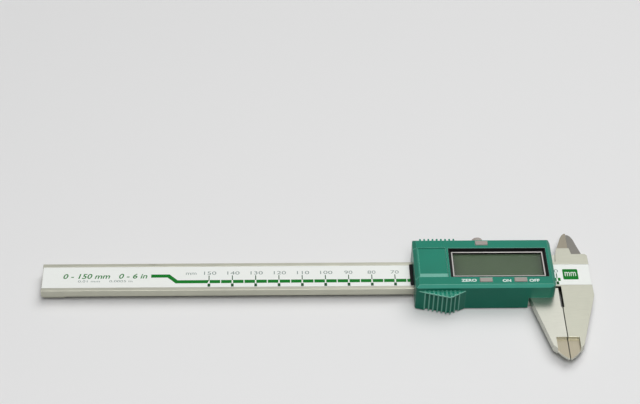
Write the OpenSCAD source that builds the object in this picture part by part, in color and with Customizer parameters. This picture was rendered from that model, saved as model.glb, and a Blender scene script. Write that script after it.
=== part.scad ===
// Left-handed digital caliper, 150 mm.
// X runs along the beam towards the jaws, Y across it towards the inside jaws, Z up through it.
// X = 0 is the fixed outside measuring face, Y = 0 the beam's centre line, Z = 0 the slider's back.

/* [Modelled pose] */
// How far the outside jaws stand apart in the modelled pose
rest_gap = 0.3; // [0:0.05:5]

/* [Beam] */
// Width of the beam
beam_w = 16; // [15:0.1:18]
// Thickness of the beam and the outside jaws
beam_t = 3.5; // [3.3:0.1:4.5]
// From the fixed outside measuring face to the far end
beam_reach = 222; // [218:1:240]
// Width of the groove that holds the scale board and its label
scale_groove_w = 12.4; // [10:0.1:13]
// Depth of that groove
scale_groove_d = 1; // [0.98:0.02:1.1]
// Thickness of the scale board
scale_board_t = 0.8; // [0.6:0.05:0.8]
// Thickness of the printed label
label_t = 0.12; // [0.05:0.01:0.15]

/* [Jaws] */
// Width of the fixed head
head_w = 14.2; // [13.2:0.1:16]
// Height of the head's upper corner above the beam's edge
head_rise = 4.4; // [3.5:0.1:6]
// Radius of that corner
head_corner_r = 1.5; // [0.5:0.1:2.5]
// From the beam's edge to the tips of the outside jaws
outside_jaw_len = 39; // [30:0.5:50]
// Width of the moving outside jaw where it leaves the slider
moving_jaw_w = 13.4; // [11:0.1:14]
// Width of the outside jaws at the shoulder above the tip
shoulder_w = 6.3; // [5:0.1:8]
// Length of the narrowing tip below the shoulder
tip_len = 6.2; // [4:0.1:9]
// Length of the thinned end of the outside jaws
thin_len = 10.7; // [7:0.1:14]
// Width of the thinned end
thin_w = 4.7; // [3:0.1:4.9]
// Depth ground off the front of the thinned end
thin_front = 1.4; // [0.5:0.1:1.5]
// Depth ground off the back of the thinned end
thin_back = 0.9; // [0.4:0.1:1]
// Length of the relief slot at the root of the outside jaws
relief_len = 11; // [5:0.5:18]
// Depth of the relief in each jaw
relief_d = 0.5; // [0.2:0.05:1]
// How far the relief is cut up into the beam
relief_rise = 1.1; // [0:0.1:1.5]
// From the beam's edge to the tip of the inside jaws
inside_jaw_len = 18; // [14:0.5:22]
// Place of the inside measuring edges from the outside measuring faces
inside_edge_x = 6.5; // [5.5:0.1:7]
// Thickness of the inside jaws
inside_jaw_t = 1.7; // [1.4:0.05:1.72]
// Depth ground off the outer side of the inside jaws
inside_ground = 1; // [0.3:0.05:1.1]
// Height of that ground part's foot above the beam's edge
inside_ground_rise = 8; // [6:0.5:11]

/* [Slider] */
// Distance from the slider's end to its measuring face
slider_setback = 4; // [2.8:0.1:4.4]
// Thickness of the slider's back plate
plate_t = 2.9; // [2.5:0.1:4]
// Width of the lower rail
rail_lo_w = 4.25; // [4:0.05:6]
// Width of the upper rail
rail_hi_w = 4.25; // [4:0.05:6]
// Thickness of the lips that hold the beam down
lip_t = 0.8; // [0.7:0.1:1.2]
// How far each lip reaches over the beam
lip_reach = 1.4; // [0.8:0.1:1.4]
// Thickness of the gib strip
gib_t = 1.1; // [0.8:0.05:2]
// Radius of the gib set screws
gib_screw_r = 1.25; // [0.8:0.05:1.4]
// Radius of the lock screw's thread
lock_screw_r = 1.5; // [1:0.05:1.55]
// Radius of the lock screw's knurled knob
lock_knob_r = 2.5; // [2.3:0.1:4]
// Length of that knob
lock_knob_len = 7; // [3:0.1:9]
// Distance of the lock screw from the measuring face
lock_x = 32.7; // [25:0.1:40]

/* [Depth rod] */
// Width of the depth rod
rod_w = 3; // [2.2:0.1:4]
// Thickness of the depth rod
rod_t = 1.4; // [1:0.05:1.5]
// Distance of the rod's inner end from the measuring face
rod_end_x = 14; // [13.5:0.5:20]
// Distance of the rod's screw from the measuring face
rod_screw_x = 24; // [23:0.5:30]
// Radius of the rod's screw
rod_screw_r = 0.9; // [0.6:0.05:1]

/* [Stop plate] */
// Length of the stop plate
stop_len = 9.5; // [7:0.1:9.5]
// Width of the stop plate
stop_w = 14; // [12:0.5:15]
// Thickness of the stop plate
stop_t = 1.6; // [1:0.1:2]
// Radius of its screws
stop_screw_r = 0.8; // [0.5:0.05:1]

/* [Housing] */
// Wall of the housing's sides
wall = 1.5; // [1.2:0.05:1.6]
// Thickness of the housing's front
front_t = 1.6; // [1.55:0.05:2]
// Room between the slider's lips and the inside of the front
room_h = 5; // [5:0.05:6]
// Height of the housing's foot above the slider's back
foot_h = 0.5; // [0.2:0.05:1]
// Bevel round the front
bevel = 1.5; // [1:0.05:1.5]
// Radius of the two corners by the jaws
corner_r_jaw = 2.8; // [2:0.1:5]
// Radius of the two far corners
corner_r_far = 1; // [0.6:0.1:1.5]
// Radius of the housing screws
house_screw_r = 0.9; // [0.6:0.05:1]

/* [Thumb grips] */
// How far the lower grip bulges
grip_bulge = 3.8; // [2:0.1:5]
// Height of the lower grip's top below the housing's front
grip_drop = 2.5; // [2:0.1:5]
// Number of ribs on the lower grip
grip_ribs = 9; // [6:1:9]
// Number of ribs on the upper grip
upper_ribs = 9; // [5:1:9]
// How far the upper ribs stand out
upper_rib_proud = 1.3; // [0.5:0.1:2]
// Distance between ribs
rib_pitch = 1.82; // [1.6:0.02:1.9]
// Width of a rib
rib_w = 0.8; // [0.5:0.05:1]
// Depth of the grooves between the ribs
rib_d = 0.7; // [0.3:0.05:1]
// Distance of the rib nearest the jaws from the measuring face
rib_first_x = 43.8; // [42:0.1:46]

/* [Display] */
// Width of the display opening
display_w = 42.2; // [38:0.1:43]
// Height of the display opening
display_h = 17.4; // [15:0.1:18]
// From the housing's end by the jaws to the opening
display_inset_x = 2.6; // [2.5:0.1:6]
// From the housing's lower side to the opening
display_inset_y = 5.5; // [5.5:0.1:6.5]
// Width of the black bezel
bezel_w = 1.2; // [1.1:0.05:2]
// Depth of the bezel below the housing's front
bezel_depth = 1.1; // [0.8:0.05:1.3]
// Width of the lip with which the bezel lines the opening
bezel_lip = 0.4; // [0.3:0.05:0.6]
// Width of the bright frame
frame_w = 0.6; // [0.4:0.05:1]
// Thickness of the clear window
window_t = 0.5; // [0.3:0.05:0.6]
// Thickness of the liquid crystal panel
lcd_t = 1.4; // [1:0.05:1.6]

/* [Keys] */
// Width of a key
key_w = 5.35; // [4:0.05:6]
// Height of a key across the housing
key_h = 2.4; // [1.8:0.05:2.6]
// How far a key stands above the front
key_proud = 0.3; // [0.25:0.05:0.8]
// Travel of a key
key_travel = 0.5; // [0.2:0.05:0.6]
// Distance of the zero key from the measuring face
key_zero_x = 32.3; // [31:0.1:34]
// Distance of the on and off key from the measuring face
key_on_off_x = 17.5; // [16:0.1:20]
// Distance of the upper key from the measuring face
key_mode_x = 32.4; // [31:0.1:36]
// Drop of the lower keys' centre line below the display opening
key_drop = 1.8; // [1.75:0.05:2]
// Rise of the upper key's centre line above the display opening
key_rise = 2.9; // [2.6:0.05:2.95]

/* [Electronics] */
// Thickness of the main board
board_t = 1; // [0.8:0.05:1]
// Radius of the coin cell
cell_r = 5.8; // [5:0.05:5.8]
// Height of the coin cell
cell_h = 5.4; // [3.6:0.05:5.4]
// Room beside the coin cell, at each end of its compartment
cell_room = 0.5; // [0.4:0.05:2]
// Thickness of the battery contacts
contact_t = 0.2; // [0.15:0.01:0.25]
// Width of the battery contacts
contact_w = 4; // [2:0.1:5]

/* [Scale wiper] */
// Width of the felt wiper that keeps the scale clean
wiper_w = 12; // [8:0.1:12.2]
// How far it stands out of the housing
wiper_out = 1.5; // [0.5:0.1:3]

/* [Battery lid] */
// Strip of housing between the lid and the display
lid_strip = 1; // [0.9:0.05:2]
// Thickness of the lid
lid_t = 0.85; // [0.8:0.05:0.85]
// Width of the lid's sloping band
lid_band = 2.3; // [1:0.1:4]
// Drop of that band
lid_band_drop = 0.6; // [0.2:0.05:0.6]
// Height of the lid's end wall
lid_end_h = 5; // [3:0.1:6]

/* [Hidden] */
$fn = 48;

// Clearances
run_gap = 0.05;      // sliding fit across the beam, and of shafts in their holes
face_gap = 0.1;      // sliding fit over and under the beam, and between the inside jaws
fit_gap = 0.1;       // pieces that are put together
slim_gap = 0.05;     // close seats: lid, keys, frames
thread_gap = 0.02;   // screws in the holes that they hold in
eps = 0.01;          // overlap of solids that become one, and of cuts past a face

// Heights
beam_z0 = plate_t + face_gap;
beam_z1 = beam_z0 + beam_t;
lip_z0 = beam_z1 + face_gap;
lip_z1 = lip_z0 + lip_t;
front_z0 = lip_z1 + room_h;
front_z1 = front_z0 + front_t;
mid_z = beam_z0 + beam_t / 2;
groove_z = beam_z1 - scale_groove_d;

// Beam and jaws, across and along
beam_half = beam_w / 2;
tip_y = beam_half + outside_jaw_len;
inside_tip_y = beam_half + inside_jaw_len;
head_top = beam_half + head_rise;
root_y = beam_half + 4.4;                  // where the outside jaws start to narrow
inside_foot = beam_half + run_gap;         // the head above this is only as thick as an inside jaw

// Slider across, in the closed pose
channel_lo = -(beam_half + run_gap);
channel_hi = beam_half + run_gap + gib_t + fit_gap;
slider_lo = channel_lo - rail_lo_w;
slider_hi = channel_hi + rail_hi_w;
lip_edge = beam_half - lip_reach;

// Along the slider from its jaws, in the closed pose: housing, display, lid, coin cell, far end
slider_x1 = -slider_setback;
house_x1 = slider_x1 + fit_gap + wall;
disp_x1 = house_x1 - display_inset_x;
disp_x0 = disp_x1 - display_w;
lid_x1 = disp_x0 - lid_strip;
cell_x = lid_x1 - cell_room - cell_r;
room_x0 = cell_x - cell_r - cell_room;
house_x0 = room_x0 - wall;
slider_x0 = room_x0 + fit_gap;

// Housing across, and its inside
house_lo = slider_lo - fit_gap - wall;
house_hi = slider_hi + fit_gap + wall;
room_x1 = house_x1 - wall;
room_lo = house_lo + wall;
room_hi = house_hi - wall;
over_beam_z = beam_z1 + 0.7;               // the housing's end walls stand this high over the beam
screw_x = [room_x0 + 2.4, room_x1 - 2.1];
screw_y = [room_lo + 2.1, room_hi - 2];
boss_r = 1.7;
house_screw_tip = front_z0 - 1.4;
screw_head_r = 1.7;
screw_head_h = 1;
screw_sink = 0.1;                          // the heads lie this far below the slider's back

// Display, keys and lid, across and up
disp_lo = house_lo + display_inset_y;
disp_hi = disp_lo + display_h;
bezel_z1 = front_z1 - bezel_depth;
bezel_z0 = lip_z1 + board_t + contact_t + slim_gap;
bezel_flange = 0.3;
lcd_z1 = front_z0 - 0.5 - slim_gap;
lcd_z0 = lcd_z1 - lcd_t;
board_z0 = lip_z1;
board_z1 = board_z0 + board_t;
board_x0 = disp_x0 - 0.3;
board_x1 = screw_x[1] - boss_r - fit_gap;
switch_h = 0.9;
switch_r = 1.8;
post_x = [board_x0 + 1.6, board_x1 - 1.6];
post_y = [room_lo + 1.4, room_hi - 1.5];
post_r = 1.2;
pin_r = 0.7;
key_lo_y = disp_lo - key_drop;
key_hi_y = disp_hi + key_rise;
lid_lo = disp_lo + 0.25;
lid_hi = disp_hi + 0.15;
lid_z1 = front_z1 - 0.4;                   // the lid lies this far below the housing's front
lid_z0 = lid_z1 - lid_t;
lid_tongue = 0.5;
lid_tongue_h = 0.4;
lid_ridge = 0.6;                           // width of the rim left of the lid's sunk face

// Cell and contacts
tray_z0 = beam_z1 + 0.2;
tray_z1 = lid_z0 - slim_gap - cell_h - contact_t;
cell_z0 = tray_z1 + contact_t;
well_r = cell_r + 0.15;
box_x1 = board_x0 - fit_gap;
box_lo = lid_lo + 0.2;
box_hi = lid_hi - 0.2;
contact_foot = 1;                          // how far a contact reaches onto the board

// Grip
rib_x0 = -rib_first_x - (grip_ribs - 1) * rib_pitch;
grip_x0 = rib_x0 - 2.9;
grip_x1 = -rib_first_x + 2.9;
grip_peak_x = grip_x0 + 0.68 * (grip_x1 - grip_x0);
grip_z1 = front_z1 - grip_drop;
upper_rib_z0 = 2;
upper_rib_shift = 0.3;                     // the upper ribs start that much farther from the jaws

// Groove for the depth rod, and places on the stop plate
rod_groove_w = rod_w + 0.3;
rod_groove_z = beam_z0 + slim_gap + rod_t + 0.15;
stop_x0 = -beam_reach + 0.5;
stop_mid_x = stop_x0 + stop_len / 2;
stop_screw_y = stop_w / 2 - 2.3;
stop_head_r = 1.5;

// Places of the gib screws along the slider
gib_x0 = slider_x0 + 1;
gib_x1 = slider_x1 - 1;
gib_screw_x = [gib_x0 + 7, gib_x1 - 8];

// Lock screw
lock_knob_y0 = house_hi + 0.3;
knurls = 24;

// Places of the keys: zero, on and off, upper
key_places = [[-key_zero_x, key_lo_y], [-key_on_off_x, key_lo_y], [-key_mode_x, key_hi_y]];

// Opening inside the bezel, where the bright frame sits
hole_lo = [disp_x0 + bezel_w, disp_lo + bezel_w];
hole_hi = [disp_x1 - bezel_w, disp_hi - bezel_w];
pane_gap = [slim_gap, slim_gap];
frame_rim = [frame_w, frame_w];

// Colours
steel = [0.79, 0.79, 0.76];
dark_steel = [0.5, 0.5, 0.49];
bright = [0.86, 0.85, 0.84];
green = [0.16, 0.46, 0.37];
black = [0.1, 0.1, 0.11];
key_grey = [0.66, 0.61, 0.59];
board_green = [0.1, 0.35, 0.2];
gold = [0.8, 0.66, 0.35];

// A block between its lowest and its highest corner
module block(lo, hi) {
    translate(lo) cube(hi - lo);
}

// A rectangle between two corners
module panel(lo, hi) {
    translate(lo) square(hi - lo);
}

// A rod along Y from y0 to y1
module rod_y(x, z, y0, y1, r) {
    translate([x, y1, z]) rotate([90, 0, 0]) cylinder(r = r, h = y1 - y0);
}

// A rod along Z from z0 to z1
module rod_z(x, y, z0, z1, r) {
    translate([x, y, z0]) cylinder(r = r, h = z1 - z0);
}

// What sits on the slider is drawn with the jaws closed and moved to the modelled pose here
module on_slider() {
    translate([-rest_gap, 0, 0]) children();
}

// Outline of an outside jaw to the right of its measuring face, from the beam's edge down
function outside_jaw(root_w, top_w) = [
    [relief_d, -beam_half + 1], [relief_d, -beam_half - relief_len], [0, -beam_half - relief_len - 0.4],
    [0, -tip_y], [0.6, -tip_y], [0.45 * shoulder_w, -tip_y + 0.3 * tip_len],
    [0.84 * shoulder_w, -tip_y + 0.82 * tip_len], [shoulder_w, -tip_y + tip_len],
    [root_w, -root_y], [top_w, -beam_half + 1]];

// The thinned end of an outside jaw, to the right of its measuring face
module thin_cuts() {
    foot = -tip_y + thin_len;
    block([-eps, -tip_y - 1, beam_z1 - thin_front], [thin_w, foot, beam_z1 + 1]);
    block([-eps, -tip_y - 1, beam_z0 - 1], [thin_w, foot, beam_z0 + thin_back]);
}

// Outline of the fixed inside jaw and the head's upper part
function fixed_inside() = [
    [0, beam_half - 2], [0, beam_half + 1.5], [0.13 * inside_edge_x, inside_tip_y - 11.3],
    [0.57 * inside_edge_x, inside_tip_y - 3],
    [0.71 * inside_edge_x, inside_tip_y - 1.1], [0.89 * inside_edge_x, inside_tip_y],
    [inside_edge_x, inside_tip_y], [inside_edge_x, beam_half + inside_ground_rise],
    [inside_edge_x + 0.25, beam_half + inside_ground_rise], [inside_edge_x + 0.9, head_top],
    [head_w - head_corner_r, head_top], [head_w - head_corner_r, head_top - head_corner_r],
    [head_w, head_top - head_corner_r], [head_w, beam_half - 2]];

// Outline of the moving inside jaw and the bridge behind the head that carries it
function moving_inside() = [
    [slider_x1 - 1.5, channel_hi + 0.5], [0, channel_hi + 0.5], [0, inside_foot + fit_gap],
    [inside_edge_x + 6, inside_foot + fit_gap], [inside_edge_x + 6, beam_half + 6.2],
    [inside_edge_x + 4.4, inside_tip_y - 6.6], [inside_edge_x + 3.4, inside_tip_y - 2.9],
    [inside_edge_x + 2.4, inside_tip_y - 0.9], [inside_edge_x + 1.3, inside_tip_y],
    [inside_edge_x, inside_tip_y], [inside_edge_x, beam_half + 7],
    [inside_edge_x - 1, beam_half + 6.2], [slider_x1 - 1.5, slider_hi - 0.3]];

module beam() {
    ground_foot = beam_half + inside_ground_rise;
    color(steel) difference() {
        union() {
            block([-beam_reach, -beam_half, beam_z0], [relief_d + eps, beam_half, beam_z1]);
            block([0, -beam_half, beam_z0], [head_w, inside_foot, beam_z1]);
            translate([0, 0, beam_z0]) linear_extrude(beam_t)
                polygon(outside_jaw(head_w, head_w));
            translate([0, 0, beam_z1 - inside_jaw_t]) linear_extrude(inside_jaw_t) {
                polygon(fixed_inside());
                translate([head_w - head_corner_r, head_top - head_corner_r]) circle(head_corner_r);
            }
        }
        thin_cuts();
        block([-relief_d, -beam_half - 1, beam_z0 - 1], [relief_d, -beam_half + relief_rise, beam_z1 + 1]);
        block([-1, ground_foot, beam_z1 - inside_ground], [inside_edge_x + 1, inside_tip_y + 1, beam_z1 + 1]);
        block([-beam_reach - 1, -scale_groove_w / 2, groove_z],
              [head_w + 1, scale_groove_w / 2, beam_z1 + 1]);
        block([-beam_reach - 1, -rod_groove_w / 2, beam_z0 - 1],
              [-rod_end_x + 1.5, rod_groove_w / 2, rod_groove_z]);
        for (y = [-stop_screw_y, stop_screw_y])
            rod_z(stop_mid_x, y, beam_z0 - 1, groove_z - 0.3, stop_screw_r + thread_gap);
    }
}

module scale_board() {
    color(board_green) block([-beam_reach + 0.3, -scale_groove_w / 2 + fit_gap, groove_z],
                             [head_w - 0.2, scale_groove_w / 2 - fit_gap, groove_z + scale_board_t]);
}

module scale_label() {
    z = groove_z + scale_board_t;
    color("white") block([-beam_reach + 0.3, -scale_groove_w / 2 + fit_gap, z],
                         [head_w - 0.2, scale_groove_w / 2 - fit_gap, z + label_t]);
}

module stop_plate() {
    color(steel) difference() {
        block([stop_x0, -stop_w / 2, beam_z0 - stop_t], [stop_x0 + stop_len, stop_w / 2, beam_z0]);
        for (y = [-stop_screw_y, stop_screw_y]) {
            rod_z(stop_mid_x, y, beam_z0 - stop_t - 1, beam_z0 + 1, stop_screw_r + fit_gap);
            rod_z(stop_mid_x, y, beam_z0 - stop_t - 1, beam_z0 - stop_t + 0.7, stop_head_r + fit_gap);
        }
    }
}

module stop_plate_screws() {
    color(dark_steel) for (y = [-stop_screw_y, stop_screw_y]) difference() {
        union() {
            rod_z(stop_mid_x, y, beam_z0 - stop_t + 0.1, beam_z0 - stop_t + 0.7, stop_head_r);
            rod_z(stop_mid_x, y, beam_z0 - stop_t + 0.1, groove_z - 0.4, stop_screw_r);
        }
        block([stop_mid_x - 2, y - 0.2, beam_z0 - stop_t - 1],
              [stop_mid_x + 2, y + 0.2, beam_z0 - stop_t + 0.35]);
    }
}

module slider_frame() {
    ground_foot = beam_half + inside_ground_rise;
    on_slider() color(steel) difference() {
        union() {
            difference() {
                linear_extrude(lip_z1) housing_plan(wall + fit_gap);
                block([slider_x0 - 1, channel_lo, plate_t], [slider_x1 + 1, channel_hi, lip_z0]);
                block([slider_x0 - 1, -lip_edge, lip_z0 - eps], [slider_x1 + 1, lip_edge, lip_z1 + 1]);
            }
            // seat of the depth rod
            block([-rod_screw_x - 6, -rod_w / 2 + 0.2, plate_t - eps],
                  [-rod_screw_x + 6, rod_w / 2 - 0.2, beam_z0 + slim_gap]);
            difference() {
                translate([0, 0, beam_z0]) linear_extrude(beam_t) mirror([1, 0])
                    polygon(outside_jaw(moving_jaw_w, moving_jaw_w + 1.2));
                mirror([1, 0, 0]) thin_cuts();
                block([-moving_jaw_w - 2, channel_lo, beam_z0 - 1], [1, 0, beam_z1 + 1]);
            }
            difference() {
                translate([0, 0, beam_z0]) linear_extrude(inside_jaw_t) polygon(moving_inside());
                block([inside_edge_x - 1, ground_foot, beam_z0 - 1],
                      [inside_edge_x + 7, inside_tip_y + 1, beam_z0 + inside_ground]);
            }
        }
        for (x = screw_x, y = screw_y) {
            rod_z(x, y, -1, lip_z1 + 1, house_screw_r + 0.15);
            rod_z(x, y, -1, screw_sink + screw_head_h, screw_head_r + fit_gap);
        }
        rod_z(-rod_screw_x, 0, -1, beam_z0 + 1, rod_screw_r + fit_gap);
        rod_z(-rod_screw_x, 0, -1, screw_sink + screw_head_h, screw_head_r + fit_gap);
        rod_y(-lock_x, mid_z, 0, slider_hi + 1, lock_screw_r + run_gap);
        for (x = gib_screw_x)
            rod_y(x, mid_z, 0, slider_hi + 1, gib_screw_r + thread_gap);
    }
}

module gib_strip() {
    on_slider() color(gold)
        block([gib_x0, beam_half + run_gap, beam_z0 + 0.2],
              [gib_x1, beam_half + run_gap + gib_t, beam_z1 - 0.1]);
}

module gib_screws() {
    y0 = beam_half + run_gap + gib_t;
    on_slider() color(dark_steel) for (x = gib_screw_x) difference() {
        rod_y(x, mid_z, y0, slider_hi - 0.6, gib_screw_r);
        block([x - 0.25, slider_hi - 1.2, mid_z - 2], [x + 0.25, slider_hi + 1, mid_z + 2]);
    }
}

// A knurled knob on a thread that presses on the gib strip
module lock_screw() {
    knurl_d = 0.18;
    on_slider() color(key_grey) {
        rod_y(-lock_x, mid_z, beam_half + run_gap + gib_t + slim_gap, lock_knob_y0 + eps, lock_screw_r);
        rod_y(-lock_x, mid_z, lock_knob_y0, lock_knob_y0 + 0.6, lock_knob_r - 0.6);
        translate([-lock_x, lock_knob_y0 + lock_knob_len, mid_z]) rotate([90, 0, 0])
            linear_extrude(lock_knob_len - 0.5)
                polygon([for (i = [0 : 2 * knurls - 1])
                    (lock_knob_r - knurl_d * (i % 2)) * [cos(180 * i / knurls), sin(180 * i / knurls)]]);
    }
}

module depth_rod() {
    z0 = beam_z0 + slim_gap;
    on_slider() color(steel) difference() {
        block([-beam_reach, -rod_w / 2, z0], [-rod_end_x, rod_w / 2, z0 + rod_t]);
        rod_z(-rod_screw_x, 0, z0 - 1, z0 + rod_t - 0.2, rod_screw_r + thread_gap);
        block([-beam_reach - 1, -rod_w / 2 - 1, z0 + rod_t - 0.5],
              [-beam_reach + 2.5, -rod_w / 2 + 1, z0 + rod_t + 1]);
    }
}

// A screw from the slider's back: slotted head, then shank
module back_screw(x, y, tip_z, r) {
    difference() {
        union() {
            rod_z(x, y, screw_sink, screw_sink + screw_head_h, screw_head_r);
            rod_z(x, y, screw_sink, tip_z, r);
        }
        block([x - 2, y - 0.25, -1], [x + 2, y + 0.25, screw_sink + 0.45]);
    }
}

module depth_rod_screw() {
    on_slider() color(dark_steel)
        back_screw(-rod_screw_x, 0, beam_z0 + slim_gap + rod_t - 0.25, rod_screw_r);
}

module housing_screws() {
    on_slider() color(dark_steel) for (x = screw_x, y = screw_y)
        back_screw(x, y, house_screw_tip - 0.1, house_screw_r);
}

// Plan of the housing, shrunk all round by inset
module housing_plan(inset) {
    lo = [house_x0 + inset, house_lo + inset];
    hi = [house_x1 - inset, house_hi - inset];
    rf = max(corner_r_far - inset, 0.1);
    rj = max(corner_r_jaw - inset, 0.1);
    mid = (lo[0] + hi[0]) / 2;
    panel([lo[0] + rf, lo[1]], [hi[0] - rj, hi[1]]);
    panel([lo[0], lo[1] + rf], [mid, hi[1] - rf]);
    panel([mid, lo[1] + rj], [hi[0], hi[1] - rj]);
    for (y = [lo[1] + rf, hi[1] - rf]) translate([lo[0] + rf, y]) circle(rf);
    for (y = [lo[1] + rj, hi[1] - rj]) translate([hi[0] - rj, y]) circle(rj);
}

// A section with its two upper corners bevelled
function bevelled(a0, a1) = [[a0, foot_h], [a1, foot_h], [a1, front_z1 - bevel], [a1 - bevel, front_z1],
                             [a0 + bevel, front_z1], [a0, front_z1 - bevel]];

module housing_outer() {
    intersection() {
        translate([0, 0, foot_h]) linear_extrude(front_z1 - foot_h) housing_plan(0);
        translate([house_x0 - 1, 0, 0]) rotate([90, 0, 90])
            linear_extrude(house_x1 - house_x0 + 2) polygon(bevelled(house_lo, house_hi));
        translate([0, house_hi + 1, 0]) rotate([90, 0, 0])
            linear_extrude(house_hi - house_lo + 2) polygon(bevelled(house_x0, house_x1));
    }
}

// How far the lower grip bulges at x
function bulge(x) = x < grip_peak_x
    ? grip_bulge * (x - grip_x0) / (grip_peak_x - grip_x0)
    : grip_bulge * (grip_x1 - x) / (grip_x1 - grip_peak_x);

module lower_grip() {
    nose = 1.2;
    difference() {
        translate([0, 0, foot_h]) linear_extrude(grip_z1 - foot_h)
            polygon([[grip_x0, house_lo + eps], [grip_x0, house_lo],
                     [grip_peak_x - nose, house_lo - bulge(grip_peak_x - nose)],
                     [grip_peak_x, house_lo - 0.96 * grip_bulge],
                     [grip_peak_x + nose, house_lo - bulge(grip_peak_x + nose)],
                     [grip_x1, house_lo], [grip_x1, house_lo + eps]]);
        for (i = [0 : grip_ribs - 2]) {
            x = rib_x0 + (i + 0.5) * rib_pitch;
            half = (rib_pitch - rib_w) / 2;
            block([x - half, house_lo - bulge(x) - 2, foot_h - 1],
                  [x + half, house_lo - max(bulge(x) - rib_d, 0.1), grip_z1 + 1]);
        }
    }
}

module upper_grip() {
    for (i = [0 : upper_ribs - 1]) {
        x = rib_x0 - upper_rib_shift + i * rib_pitch;
        block([x - rib_w / 2, house_hi - eps, upper_rib_z0],
              [x + rib_w / 2, house_hi + upper_rib_proud, front_z1 - bevel - 0.1]);
    }
}

// The space that the battery lid takes in the housing, with clearance all round
module lid_space() {
    g = slim_gap;
    block([house_x0 - 1, lid_lo, lid_z0 - g], [lid_x1, lid_hi, front_z1 + 1]);
    block([house_x0 - 1, lid_lo - lid_tongue - g, lid_z0 - g],
          [lid_x1, lid_hi + lid_tongue + g, lid_z0 + lid_tongue_h + g]);
    block([house_x0 - 1, lid_lo, front_z1 - lid_end_h - g], [room_x0 + eps, lid_hi, front_z1]);
}

module battery_box() {
    difference() {
        union() {
            block([room_x0 - eps, box_lo, lip_z1 + fit_gap], [box_x1, box_hi, lid_z0 - 2 * slim_gap]);
            block([room_x0 + 0.3, -lip_edge + fit_gap, tray_z0],
                  [box_x1, lip_edge - fit_gap, lip_z1 + fit_gap + eps]);
        }
        // slots for the two contacts
        block([cell_x, -contact_w / 2 - fit_gap, tray_z1],
              [box_x1 + 1, contact_w / 2 + fit_gap, tray_z1 + 2 * contact_t]);
        block([cell_x + cell_r - fit_gap, -contact_w / 2 - fit_gap, board_z1 - 3 * contact_t],
              [cell_x + cell_r + contact_t + fit_gap, contact_w / 2 + fit_gap, lid_z0 + 1]);
        block([cell_x + cell_r, -contact_w / 2 - fit_gap, board_z1 - fit_gap],
              [box_x1 + 1, contact_w / 2 + fit_gap, board_z1 + 2 * contact_t]);
    }
}

module housing() {
    notch_x0 = -moving_jaw_w - 0.4;
    on_slider() color(green) difference() {
        union() {
            difference() {
                union() {
                    housing_outer();
                    lower_grip();
                    upper_grip();
                }
                translate([0, 0, foot_h - 1]) linear_extrude(front_z0 - foot_h + 1) housing_plan(wall);
            }
            battery_box();
            for (x = screw_x, y = screw_y)
                rod_z(x, y, lip_z1 + slim_gap, front_z0 + eps, boss_r);
            for (x = post_x, y = post_y) {
                rod_z(x, y, board_z1 + slim_gap, front_z0 + eps, post_r);
                rod_z(x, y, board_z0 + fit_gap, front_z0, pin_r);
            }
        }
        lid_space();
        rod_z(cell_x, 0, tray_z1, lid_z1, well_r);
        block([disp_x0, disp_lo, front_z0 - 1], [disp_x1, disp_hi, front_z1 + 1]);
        // the display bezel's flange and the room below it
        block([disp_x0 - bezel_flange - fit_gap, disp_lo - bezel_flange - fit_gap, board_z1],
              [disp_x1 + bezel_flange + fit_gap, disp_hi + bezel_flange + fit_gap, front_z0]);
        for (k = key_places)
            block([k[0] - key_w / 2 - fit_gap, k[1] - key_h / 2 - fit_gap, front_z0 - 1],
                  [k[0] + key_w / 2 + fit_gap, k[1] + key_h / 2 + fit_gap, front_z1 + 1]);
        // way out for the moving outside jaw, and the end over the beam
        block([notch_x0, house_lo - 1, 0], [house_x1 + 1, slider_lo, beam_z1 + slim_gap]);
        block([room_x1 - corner_r_jaw, slider_lo - eps, 0], [house_x1 + 1, room_hi, beam_z1 + slim_gap]);
        block([room_x1 - eps, -beam_half - 0.3, 0], [house_x1 + 1, beam_half + 0.3, over_beam_z]);
        block([house_x0 - 1, -beam_half - 0.3, 0], [room_x0 + eps, beam_half + 0.3, over_beam_z]);
        for (x = screw_x, y = screw_y)
            rod_z(x, y, lip_z1 - 1, house_screw_tip, house_screw_r + thread_gap);
        rod_y(-lock_x, mid_z, room_hi - 1, house_hi + 1, lock_screw_r + 0.2);
    }
}

module scale_wiper() {
    on_slider() color(black)
        block([house_x0 - wiper_out, -wiper_w / 2, beam_z1 + slim_gap],
              [room_x0 + 0.2, wiper_w / 2, over_beam_z - slim_gap]);
}

module battery_lid() {
    face_lo = lid_lo + slim_gap;
    face_hi = lid_hi - slim_gap;
    ridge_x = house_x0 + bevel + lid_ridge;
    on_slider() color(green) intersection() {
        housing_outer();
        union() {
            // sunk face with its sloping band
            translate([house_x0, 0, 0]) rotate([90, 0, 90]) linear_extrude(lid_x1 - slim_gap - house_x0)
                polygon([[face_lo, lid_z0], [face_hi, lid_z0], [face_hi, lid_z1],
                         [face_lo + lid_band, lid_z1],
                         [face_lo, lid_z1 - lid_band_drop]]);
            block([house_x0 - 1, lid_lo - lid_tongue, lid_z0],
                  [lid_x1 - slim_gap, lid_hi + lid_tongue, lid_z0 + lid_tongue_h]);
            block([house_x0 - 1, face_lo, lid_z0], [ridge_x, face_hi, front_z1]);
            block([house_x0 - 1, face_lo, front_z1 - lid_end_h], [room_x0 - slim_gap, face_hi, front_z1]);
        }
    }
}

module key(place) {
    x = place[0];
    y = place[1];
    flange_z1 = front_z0 - slim_gap;
    color(key_grey) {
        block([x - key_w / 2, y - key_h / 2, flange_z1 - 0.6],
              [x + key_w / 2, y + key_h / 2, front_z1 + key_proud]);
        block([x - key_w / 2 - 0.5, y - key_h / 2, flange_z1 - 0.6],
              [x + key_w / 2 + 0.5, y + key_h / 2, flange_z1]);
        block([x - 0.8, y - 0.8, board_z1 + switch_h + key_travel + slim_gap], [x + 0.8, y + 0.8, flange_z1]);
    }
}

module key_zero() {
    on_slider() key(key_places[0]);
}

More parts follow.
